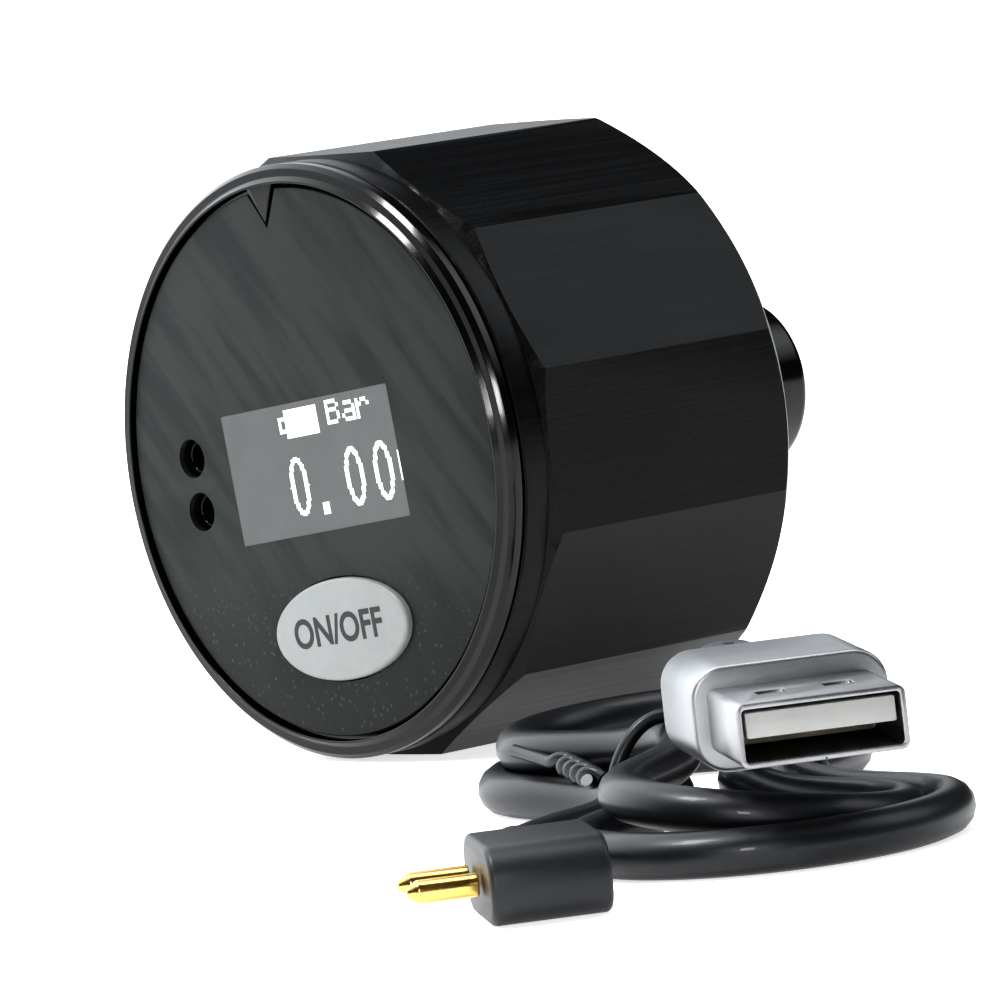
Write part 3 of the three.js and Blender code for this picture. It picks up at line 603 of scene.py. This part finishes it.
# %% Bezel ring
RING_INNER, RING_FRONT, RING_BACK = 22.75, -0.35, 1.25
SPIGOT_OUTER, SPIGOT_INNER, SPIGOT_BACK = 22.9, 21.9, 4.35
SHELF_INNER, SHELF_FRONT, SHELF_BACK = 20.8, 0.8, 2.0
FILM_RADIUS, FILM_THICK = 22.4, 0.5
TOOTH_DEPTH, TOOTH_HALF, TOOTH_FRONT = 2.7, 1.8, -0.12

bezel = turned("bezel", rounded([
    (RING_INNER, 0.7, 0),
    (RING_INNER, RING_FRONT, 0.08),
    (RING_INNER + 0.18, RING_FRONT, 0.05),
    (RING_INNER + 0.55, RING_FRONT + 0.37, 0.08),
    (COLLAR_RADIUS - 0.38, RING_FRONT + 0.4, 0.08),
    (COLLAR_RADIUS, RING_FRONT + 0.78, 0.12),
    (COLLAR_RADIUS, RING_BACK, 0.15),
    (SPIGOT_OUTER, RING_BACK, 0),
    (SPIGOT_OUTER, SPIGOT_BACK, 0.2),
    (SPIGOT_INNER, SPIGOT_BACK, 0.2),
    (SPIGOT_INNER, SHELF_BACK, 0),
    (SHELF_INNER, SHELF_BACK, 0.1),
    (SHELF_INNER, SHELF_FRONT, 0.1),
    (RING_INNER - 0.4, SHELF_FRONT, 0),
], 5), 256)
root = RING_INNER + 0.3
tooth_outline = [(-TOOTH_HALF, root), (0, FILM_RADIUS - TOOTH_DEPTH), (TOOTH_HALF, root)]
tooth = sheet_part("tooth", tooth_outline, TOOTH_FRONT, FILM_THICK)
soften(tooth, 0.12, 2)
combine(bezel, tooth, "UNION")
settle(bezel, FACE, "gauge", "gloss_black", ["bezel_ring"])

# %% [markdown]
# ## Face film, window and key
# The film is a disc cut out for the window, the key, the two sockets and the tooth. The cuts are
# made with tools of the same outlines, a hair larger. The window is flush with the film, so that
# the two read as one face until the display lights up.

# %% Face film
WINDOW, WINDOW_AT = (21.4, 10.75), (0.3, -0.3)
KEY, KEY_AT = (16.8, 8.3), (0.35, -13.7)
SOCKET_X, SOCKET_PITCH, SOCKET_HOLE = -15.1, 4.45, 3.2
NOTCH_GAP, WINDOW_GAP, KEY_GAP = 0.45, 0.01, 0.12
WINDOW_CORNER = 0.15
THROUGH = (-1, 2)

film_section = [(0, 0, 0), (FILM_RADIUS, 0, 0.12), (FILM_RADIUS, FILM_THICK, 0), (0, FILM_THICK, 0)]
face_film = turned("face_film", rounded(film_section), 256)
notch_half, notch_point = TOOTH_HALF + NOTCH_GAP, FILM_RADIUS - TOOTH_DEPTH - NOTCH_GAP
window_cut = panel(WINDOW[0] + 2 * WINDOW_GAP, WINDOW[1] + 2 * WINDOW_GAP, WINDOW_AT, WINDOW_CORNER)
cuts = [
    ("notch", [(-notch_half, root), (0, notch_point), (notch_half, root)]),
    ("window_cut", window_cut),
    ("key_cut", oval(KEY[0] + 2 * KEY_GAP, KEY[1] + 2 * KEY_GAP, KEY_AT)),
    ("upper_socket_cut", oval(SOCKET_HOLE, SOCKET_HOLE, (SOCKET_X, SOCKET_PITCH / 2), 48)),
    ("lower_socket_cut", oval(SOCKET_HOLE, SOCKET_HOLE, (SOCKET_X, -SOCKET_PITCH / 2), 48)),
]
for cut_name, outline in cuts:
    combine(face_film, sheet_part(cut_name, outline, *THROUGH))
settle(face_film, FACE, "gauge", "face_film", ["face_label"])

# %% Display window
GLASS_THICK = 1.6
window = sheet_part("display_glass", panel(*WINDOW, WINDOW_AT, WINDOW_CORNER), 0, GLASS_THICK)
settle(window, FACE, "gauge", "screen", ["display_window"])

# %% [markdown]
# ## What the display shows
# The display is a grid of 128 by 64 dots, and the reading is drawn the way its own firmware
# would: a zero is the set of dots between two ellipses, the battery is a block with a nub, and
# the unit is spelled in a tiny alphabet of dots. A grid primitive supplies one face for each dot,
# the unlit ones are deleted, and the rest are given a little thickness.

# %% Lit dots
COLUMNS, ROWS = 128, 64
PIXEL_FILL, SCAN_LINE_FILL = 0.98, 0.66
PIXEL_FRONT, PIXEL_THICK = -0.012, 0.01
UNIT = {
    80: ("1111.", "1...1", "1111.", "1...1", "1...1", "1111."),
    92: (".....", ".111.", "....1", ".1111", "1...1", ".1111"),
    103: (".....", "1.11.", "11..1", "1....", "1....", "1...."),
}


def in_zero(column, row, centre):
    x, y = column - centre, row - 23
    return (x / 7) ** 2 + (y / 14.4) ** 2 <= 1 <= (x / 4.0) ** 2 + (y / 11.6) ** 2


def in_unit(column, row):
    for left, glyph in UNIT.items():
        across, down_from_top = (column - left) // 2, (61 - row) // 2
        if 0 <= across < 5 and 0 <= down_from_top < 6 and glyph[down_from_top][across] == "1":
            return True
    return False


def lit(column, row):
    battery = 48 <= column < 73 and 47 <= row < 61
    nub = 43 <= column < 48 and 50 <= row < 58 and not (44 < column and 52 <= row < 56)
    point = 65 <= column < 70 and 8 <= row < 14
    next_digit = column == 127 and 17 <= row < 32
    zeros = any(in_zero(column, row, centre) for centre in (50, 92.5, 114.5))
    return battery or nub or point or next_digit or zeros or in_unit(column, row)


deselect()
bpy.ops.mesh.primitive_grid_add(x_subdivisions=COLUMNS, y_subdivisions=ROWS, size=1)
reading = bpy.context.object
reading.name = reading.data.name = "display_reading"
keep = []
for cell in reading.data.polygons:
    column = int((cell.center.x + 0.5) * COLUMNS)
    row = int((cell.center.y + 0.5) * ROWS)
    keep.append(lit(column, row))
bpy.ops.object.mode_set(mode="EDIT")
bpy.ops.mesh.select_mode(type="FACE")
bpy.ops.mesh.select_all(action="DESELECT")
bpy.ops.object.mode_set(mode="OBJECT")
for cell, kept in zip(reading.data.polygons, keep):
    cell.select = not kept
bpy.ops.object.mode_set(mode="EDIT")
bpy.ops.mesh.delete(type="FACE")
bpy.ops.mesh.select_all(action="SELECT")
bpy.ops.mesh.edge_split(type="EDGE")
bpy.ops.mesh.select_mode(type="VERT")
bpy.ops.object.mode_set(mode="OBJECT")
for cell in reading.data.polygons:
    row = int((cell.center.y + 0.5) * ROWS)
    fill = SCAN_LINE_FILL if row % 2 else PIXEL_FILL
    middle_of_cell = cell.center.copy()
    for index in cell.vertices:
        corner = reading.data.vertices[index]
        corner.co.y = middle_of_cell.y + (corner.co.y - middle_of_cell.y) * fill
        corner.co.x = middle_of_cell.x + (corner.co.x - middle_of_cell.x) * PIXEL_FILL
for vertex in reading.data.vertices:
    across, lift = vertex.co.x * WINDOW[0], vertex.co.y * WINDOW[1]
    vertex.co = Vector((across + WINDOW_AT[0], PIXEL_FRONT, lift + WINDOW_AT[1])) * MM
apply_modifier(reading, "SOLIDIFY", thickness=PIXEL_THICK * MM, offset=-1)
settle(reading, FACE, "gauge", "screen", look="lit_pixels")

# %% [markdown]
# ## The power key
# A shallow oval of pale moulded plastic, its front edge rounded, printed in dark ink. It is the
# one thing on the face that moves, so the print rides on the key as well.

# %% Key and its print
KEY_FRONT, KEY_BACK = -0.55, 5.2
FLANGE_FRONT, FLANGE_WIDTH = 4.2, 0.55
PRINT_SIZE, PRINT_LEFT, PRINT_DEPTH = (11.3, 2.75), 0.25, 0.006

key = sheet_part("power_key_cap", oval(*KEY, KEY_AT), KEY_FRONT, KEY_BACK)
soften(key, 0.32, 4)
flange_outline = oval(KEY[0] + 2 * FLANGE_WIDTH, KEY[1] + 2 * FLANGE_WIDTH, KEY_AT)
flange = sheet_part("flange", flange_outline, FLANGE_FRONT, KEY_BACK)
combine(key, flange, "UNION")
settle(key, FACE, "key", "key_grey", ["power_key"], smooth=40)

deselect()
bpy.ops.object.text_add()
print_on_key = bpy.context.object
print_on_key.data.body = "ON/OFF"
print_on_key.data.align_x, print_on_key.data.align_y = "CENTER", "CENTER"
print_on_key.data.size = 3.55
print_on_key.data.offset = 0.085
print_on_key.data.extrude = PRINT_DEPTH
print_on_key.data.resolution_u = 6
bpy.ops.object.convert(target="MESH")
print_on_key.name = print_on_key.data.name = "key_print"
widest = max(v.co.x for v in print_on_key.data.vertices)
tallest = max(v.co.y for v in print_on_key.data.vertices)
stretch = Matrix.Diagonal((PRINT_SIZE[0] / (2 * widest), PRINT_SIZE[1] / (2 * tallest), 1, 1))
print_place = Vector((KEY_AT[0] - PRINT_LEFT, KEY_FRONT - PRINT_DEPTH, KEY_AT[1])) * MM
stand_up = Matrix.Translation(print_place) @ Matrix.Rotation(math.pi / 2, 4, "X")
print_on_key.data.transform(stand_up @ Matrix.Scale(MM, 4) @ stretch)
bpy.ops.object.mode_set(mode="EDIT")
close_up()
settle(print_on_key, FACE, "key", "key_grey", look="key_ink")

# %% [markdown]
# ## Sockets, stem and washer
# The two charging contacts sit at the bottom of small barrels. The stem is one lathe part with a
# threaded bore. A thread is a groove that creeps along as it goes round: the bore's wall is spun
# smooth with many rings, and then each vertex moves outwards by an amount that depends on its
# angle and its place, which cuts the helix.


# %% Sockets
SOCKET_BORE, SOCKET_OUTER = 1.15, 1.7
SOCKET_FRONT, SOCKET_FLOOR, SOCKET_BACK = 0.95, 5.9, 7.1
CONTACT_RADIUS, CONTACT_FRONT, CONTACT_BACK = 0.55, 3.6, 5.95


def socket(name, lift, node):
    place = FACE @ Matrix.Translation(Vector((SOCKET_X, 0, lift)) * MM)
    barrel = turned(name, rounded([
        (0, SOCKET_FLOOR, 0), (SOCKET_BORE, SOCKET_FLOOR, 0.1), (SOCKET_BORE, SOCKET_FRONT, 0.12),
        (SOCKET_OUTER, SOCKET_FRONT, 0.12), (SOCKET_OUTER, SOCKET_BACK, 0.1), (0, SOCKET_BACK, 0),
    ]), 48)
    settle(barrel, place, "gauge", "gloss_black", [node])
    contact = turned(name + "_contact", rounded([
        (0, CONTACT_FRONT, 0), (CONTACT_RADIUS, CONTACT_FRONT, 0.35),
        (CONTACT_RADIUS, CONTACT_BACK, 0), (0, CONTACT_BACK, 0),
    ]), 32)
    settle(contact, place, "gauge", "brass")


socket("socket_upper", SOCKET_PITCH / 2, "charging_socket_upper")
socket("socket_lower", -SOCKET_PITCH / 2, "charging_socket_lower")

# %% Stem with its threaded bore
STEM_RADIUS, BORE, STEM_FRONT, STEM_BACK = 7.3, 4.3, 31.85, 48.85
NECK_RADIUS, NECK_FRONT = 5.0, 22.45
POCKET_RADIUS, POCKET_BACK, AIR_BORE = 3.7, 24.65, 1.5
MOUTH_WIDTH, MOUTH_DEPTH, BORE_DEPTH, DRILL_POINT = 0.45, 0.5, 10, 1.2
THREAD_PITCH, THREAD_DEPTH, RINGS = 0.8, 0.3, 66
thread_back, thread_front = STEM_BACK - 0.7, STEM_BACK - 9.5
wall = [(BORE, thread_back + (thread_front - thread_back) * i / RINGS, 0) for i in range(RINGS + 1)]
stem = turned("stem", rounded([
    (AIR_BORE, POCKET_BACK, 0), (POCKET_RADIUS, POCKET_BACK, 0), (POCKET_RADIUS, NECK_FRONT, 0.1),
    (NECK_RADIUS, NECK_FRONT, 0.3), (NECK_RADIUS, STEM_FRONT, 0),
    (STEM_RADIUS, STEM_FRONT, 0.3), (STEM_RADIUS, STEM_BACK, 0.9),
    (BORE + MOUTH_WIDTH, STEM_BACK, 0.12), (BORE, STEM_BACK - MOUTH_DEPTH, 0),
] + wall + [
    (BORE, STEM_BACK - BORE_DEPTH, 0), (AIR_BORE, STEM_BACK - BORE_DEPTH - DRILL_POINT, 0),
], 5), 96)
for vertex in stem.data.vertices:
    x, y, z = vertex.co / MM
    if abs(math.hypot(x, z) - BORE) < 0.01 and thread_front < y < thread_back:
        creep = (y / THREAD_PITCH - math.atan2(z, x) / (2 * math.pi)) % 1
        groove = THREAD_DEPTH * abs(2 * creep - 1)
        vertex.co.x *= (BORE + groove) / BORE
        vertex.co.z *= (BORE + groove) / BORE
settle(stem, GAUGE, "gauge", "gloss_black", ["hose_stem"], smooth=35)
RING_HOLE, RING_EDGE, WASHER_FRONT, WASHER_BACK = 5.3, 7.0, 30.75, 31.55
washer = turned("stem_ring", rounded([
    (RING_HOLE, WASHER_FRONT, 0.1), (RING_EDGE, WASHER_FRONT, 0.25),
    (RING_EDGE, WASHER_BACK, 0.25), (RING_HOLE, WASHER_BACK, 0.1),
]), 96)
settle(washer, GAUGE, "gauge", "black_rubber", ["stem_washer"])

# %% [markdown]
# ## The metal plug
# A stamped steel shell, folded round until its edges meet in a seam, with two square windows
# that the port's springs catch. Behind it comes an anodised grip, and then a milky boot that
# flares from the cord to the grip, with a slot through it that lets it bend.

# %% Plug shell and tongue
BOOT_LENGTH, GRIP, SHELL = 13.4, (14.2, 7.6, 13.6), (12.0, 4.5, 11.8)
GAP, SHELL_WALL, SHELL_FLOOR = 0.3, 0.4, 1
CATCH, CATCH_AT, CATCH_FRONT = 2.1, 2.4, 4.6
SEAM, SEAM_FRONT = 0.12, 1.2
grip_start = BOOT_LENGTH + GAP
shell_start = grip_start + GRIP[2] + GAP
beyond_shell = shell_start + 20
# on this board x is across the plug, y is along it and z is up
mouth = Matrix.Translation(Vector((0, BOOT_MOUTH.y, BOOT_MOUTH.z)) * MM)
PLUG = LEAD @ mouth @ Matrix.Rotation(-math.pi / 2, 4, "Z")


def flat_box(width, middle_x, near_z, far_z):
    left_x, right_x = middle_x - width / 2, middle_x + width / 2
    return [(left_x, near_z), (right_x, near_z), (right_x, far_z), (left_x, far_z)]


shell = sheet_part("plug_shell", panel(SHELL[0], SHELL[1], (0, 0), 0.6), shell_start, shell_start + SHELL[2])
hollow = panel(SHELL[0] - 2 * SHELL_WALL, SHELL[1] - 2 * SHELL_WALL, (0, 0), 0.3)
combine(shell, sheet_part("hollow", hollow, shell_start + SHELL_FLOOR, beyond_shell))
for across in (-CATCH_AT, CATCH_AT):
    for top in (1, -1):
        outline = flat_box(CATCH, across, top * 1.9, top * 2.6)
        catch_start = shell_start + CATCH_FRONT
        combine(shell, sheet_part("catch_window", outline, catch_start, catch_start + CATCH))
combine(shell, sheet_part("seam", flat_box(SEAM, 0, -2.6, -2.1), shell_start + SEAM_FRONT, beyond_shell))
soften(shell, 0.08, 2, 40)
settle(shell, PLUG, "lead", "bright_steel", ["usb_shell"], smooth=40)

TONGUE, TONGUE_LIFT = (10.6, 1.8, 10.0), 0.65
tongue_start = shell_start + SHELL_FLOOR + GAP
tongue_outline = panel(TONGUE[0], TONGUE[1], (0, TONGUE_LIFT), 0.15)
tongue = sheet_part("plug_tongue", tongue_outline, tongue_start, tongue_start + TONGUE[2])
soften(tongue, 0.08, 2)
settle(tongue, PLUG, "lead", "white_plastic", ["usb_tongue"])
for i, across in enumerate((-3.5, -1.2, 1.2, 3.5)):
    strip = panel(1.1, 0.12, (across, -0.28), 0.03)
    contact = sheet_part(f"plug_contact_{i + 1}", strip, shell_start + 2, shell_start + 10.2)
    settle(contact, PLUG, "lead", "brass")

# %% Grip
grip = sheet_part("plug_grip", panel(GRIP[0], GRIP[1], (0, 0), 2.4, 8), grip_start, grip_start + GRIP[2])
soften(grip, 0.35, 3, 50)
settle(grip, PLUG, "lead", "satin_alloy", ["usb_grip"], smooth=40)


# %% Milky boot
def flare(t):
    """Half width and half height of the boot at t, from the cord's end to the grip's."""
    across = 2.8 + 4.1 * ease((t - 0.25) / 0.75)
    tall = 2.75 + 0.75 * ease((t - 0.2) / 0.8)
    return across, tall


STATIONS, AROUND = 28, 40
boot = ring_of_vertices("plug_strain_boot", [(0, 0, 0)] * AROUND, "NGON")
for _ in range(STATIONS):
    bpy.ops.mesh.extrude_region_move(TRANSFORM_OT_translate={"value": (0, MM, 0)})
bpy.ops.object.mode_set(mode="OBJECT")
for i, vertex in enumerate(boot.data.vertices):
    station, spoke = divmod(i, AROUND)
    t = station / STATIONS
    inset = 0.35 * (1 - ease(min(t, 1 - t) / 0.05))
    across, tall = flare(t)
    angle = 2 * math.pi * spoke / AROUND
    # a squarish oval: the power below one pushes the section out into its corners
    x = math.copysign(abs(math.cos(angle)) ** 0.7, math.cos(angle)) * (across - inset)
    z = math.copysign(abs(math.sin(angle)) ** 0.7, math.sin(angle)) * (tall - inset)
    vertex.co = Vector((x, t * BOOT_LENGTH, z)) * MM
bpy.ops.object.mode_set(mode="EDIT")
bpy.ops.mesh.select_all(action="SELECT")
bpy.ops.mesh.normals_make_consistent(inside=False)
bpy.ops.object.mode_set(mode="OBJECT")
slot_tool = sheet_part("slot_tool", panel(0.9, 3, (0, 3.9), 0.1), 2.2, 5.2)
combine(boot, slot_tool)
for across in (-0.9, 0.9):
    hole = sheet_part("hole_tool", panel(0.45, 3, (across, 4.0), 0.1), 6.4, 6.9)
    combine(boot, hole)
settle(boot, PLUG, "lead", "clear_plastic", ["usb_boot"], smooth=50)

# %% [markdown]
# ## The angle plug
# A rubbery block with fully rounded long edges. The cord enters one end through a short boot, and
# two gilt pins leave one side, spaced like the gauge's sockets.

# %% Angle plug and pins
PLUG_AT = Vector((27.0, -19.2))
BLOCK = (13.2, 5.6, 8.5)
BOOT_REACH = 4.0
block_start = PLUG_AT.x + BOOT_REACH + GAP
block_middle = block_start + BLOCK[0] / 2
block = sheet_part("angle_plug", panel(BLOCK[0], BLOCK[1], (block_middle, BLOCK[1] / 2), 2.6, 8),
                   PLUG_AT.y - BLOCK[2] / 2, PLUG_AT.y + BLOCK[2] / 2)
soften(block, 0.45, 3, 50)
settle(block, LEAD, "lead", "black_plastic", ["plug_body"], smooth=50)

plug_boot = turned("angle_plug_boot", rounded([
    (1.7, 0, 0.1), (2.1, 0, 0.2), (2.3, BOOT_REACH, 0.1), (1.2, BOOT_REACH, 0), (1.2, 0.6, 0),
]), 48)
boot_place = Matrix.Translation(Vector((PLUG_AT.x, PLUG_AT.y, BLOCK[1] / 2)) * MM)
boot_board = LEAD @ boot_place @ Matrix.Rotation(-math.pi / 2, 4, "Z")
settle(plug_boot, boot_board, "lead", "black_plastic", ["plug_boot"])

PIN_RADIUS, PIN_LENGTH = 0.85, 5.0
pin_end = PLUG_AT.y - BLOCK[2] / 2 - GAP
for name, side_sign, node in (("pin_left", -1, "plug_pin_left"), ("pin_right", 1, "plug_pin_right")):
    pin = turned(name, rounded([
        (0, 0, 0), (PIN_RADIUS, 0, 0.1), (PIN_RADIUS, -4.2, 0.4),
        (0.3, -PIN_LENGTH, 0.2), (0, -PIN_LENGTH, 0),
    ]), 40)
    place = Vector((block_middle + side_sign * SOCKET_PITCH / 2, pin_end, BLOCK[1] / 2)) * MM
    settle(pin, LEAD @ Matrix.Translation(place), "lead", "brass", [node])

# %% [markdown]
# ## The twist tie
# A thin wire in a soft sleeve goes once round all the strands at the waist. Its two ends are
# twisted together and then lie along the bundle. It is drawn as a curve through the hull of the
# strands and made a mesh, because it is a small rigid clip rather than a free cord.


# %% Twist tie
def sleeve(name, points, radius, closed=False):
    curve = bpy.data.curves.new(name, "CURVE")
    curve.dimensions = "3D"
    curve.bevel_depth = radius * MM
    curve.bevel_resolution = 3
    curve.use_fill_caps = True
    stroke = curve.splines.new("NURBS")
    stroke.points.add(len(points) - 1)
    for point, place in zip(stroke.points, points):
        point.co = (*(Vector(place) * MM), 1)
    stroke.order_u = 4
    stroke.use_cyclic_u = closed
    stroke.use_endpoint_u = not closed
    made = bpy.data.objects.new(name, curve)
    bpy.context.scene.collection.objects.link(made)
    deselect()
    bpy.context.view_layer.objects.active = made
    made.select_set(True)
    bpy.ops.object.convert(target="MESH")
    return bpy.context.object


TIE_RADIUS = 0.55
hull = [(-7.9, 1.0), (-7.6, 0.62), (-4, 0.6), (0, 0.6), (4, 0.6), (7.6, 0.62), (7.9, 1.2), (7.9, 3.4),
        (7.0, 5.2), (2.5, 6.3), (-1.0, 7.4), (-3.4, 8.4), (-5.6, 7.6), (-7.3, 5.2), (-7.9, 3.4)]
wavy_hull = [(0.25 * math.sin(i), v, z) for i, (v, z) in enumerate(hull)]
loop = sleeve("twist_tie", wavy_hull, TIE_RADIUS, closed=True)
settle(loop, LEAD, "lead", "cord_jacket", ["cord_tie"], smooth=60)
# the first share of each tail is twisted with the other, and the rest spreads apart
TURNS, TWISTED, TAIL_RADIUS = 2.5, 0.55, 0.5
for number, phase in ((1, 0.0), (2, math.pi)):
    path = []
    for i in range(22):
        t = i / 21
        twist = phase + 2 * math.pi * TURNS * min(t / TWISTED, 1.0)
        radius = 0.62 + 2.2 * max(0.0, t - TWISTED)
        v, z = -8.9 - 2.2 * t, 4.0 + 1.2 * t
        path.append((-1.2 - 14 * t, v + radius * math.cos(twist), z + radius * math.sin(twist)))
    tail = sleeve(f"tie_tail_{number}", path, TAIL_RADIUS)
    settle(tail, LEAD, "lead", "cord_jacket", smooth=60)

pieces_on_cord = ["plug_shell", "plug_tongue", "plug_grip", "plug_strain_boot", "angle_plug",
                  "angle_plug_boot", "pin_left", "pin_right", "twist_tie", "tie_tail_1", "tie_tail_2"]
pieces_on_cord += [f"plug_contact_{i}" for i in (1, 2, 3, 4)]
print("cord declared,", round(length), "mm long")

# %% [markdown]
# ## Table and light
# Black metal shows its surroundings more than itself, so the surroundings are the lighting. The
# table is pale and glows a little, which fills the lower flats. The sky is dim but for two soft
# patches, one on the left and one high up behind, so most of the upright flats stay black. Two
# small lamps add the streaks along the bezel, and a broad one overhead lights everything softly.

# %% Table
deselect()
bpy.ops.mesh.primitive_circle_add(vertices=96, radius=12, fill_type="NGON", location=(0, 0, -0.00005))
table = bpy.context.object
table.name = "table"
table_finish, table_wire, table_shader = start_finish("pale_table", Roughness=0.7, Specular_IOR_Level=0.2,
                                                      Emission_Color=(1, 1, 1, 1), Emission_Strength=0.5)
mottle = noise(table_wire, millimetres(table_wire), 0.02)
feed(table_shader, "Base Color", tint(table_wire, mottle, (0.82, 0.82, 0.82), (0.86, 0.86, 0.86)))
table.data.materials.append(table_finish)

# %% Sky
world = bpy.data.worlds.new("studio")
bpy.context.scene.world = world
world.use_nodes = True
sky = Wire(world.node_tree)
direction = sky.node("ShaderNodeTexCoord")


def glow_towards(aim, edge, core):
    """One from the core of a soft patch of sky, falling to nothing at its edge, both as cosines."""
    aimed = {0: direction, 1: Vector(aim).normalized()}
    cosine = sky.node("ShaderNodeVectorMath", {"operation": "DOT_PRODUCT"}, aimed, output=1)
    return spread(sky, cosine, edge, core)


brightness = (0.05 + 2.4 * glow_towards((-0.9, -0.1, 0.42), 0.55, 0.95)
              + 1.9 * glow_towards((0.42, 0.62, 0.68), 0.9, 0.99))
background = world.node_tree.nodes["Background"]
sky.tree.links.new(brightness.socket, background.inputs["Strength"])
background.inputs["Color"].default_value = (0.93, 0.97, 1.0, 1)


# %% Lamps
def lamp(name, aim, distance, size, watts):
    """A soft rectangle that shines on the gauge from the direction aim."""
    out = Vector(aim).normalized()
    bpy.ops.object.light_add(type="AREA", location=AIM + out * distance)
    made = bpy.context.object
    made.name = name
    made.data.shape = "RECTANGLE"
    made.data.size, made.data.size_y = size
    made.data.energy = watts
    made.rotation_euler = out.to_track_quat("Z", "Y").to_euler()
    return made


lamp("top_lamp", (-0.09, -0.5, 0.86), 0.7, (0.16, 0.2), 3.0)
lamp("front_lamp", (0.617, -0.753, 0.22), 0.6, (0.07, 0.1), 0.7)
lamp("overhead", (0.1, 0.1, 1.0), 2.2, (1.2, 1.2), 14)

# %% Finish
bpy.context.scene.view_settings.view_transform = "Standard"
# a steeper view curve keeps the black pieces black beside a white table
bpy.context.scene.view_settings.look = "High Contrast"
bpy.context.view_layer.update()
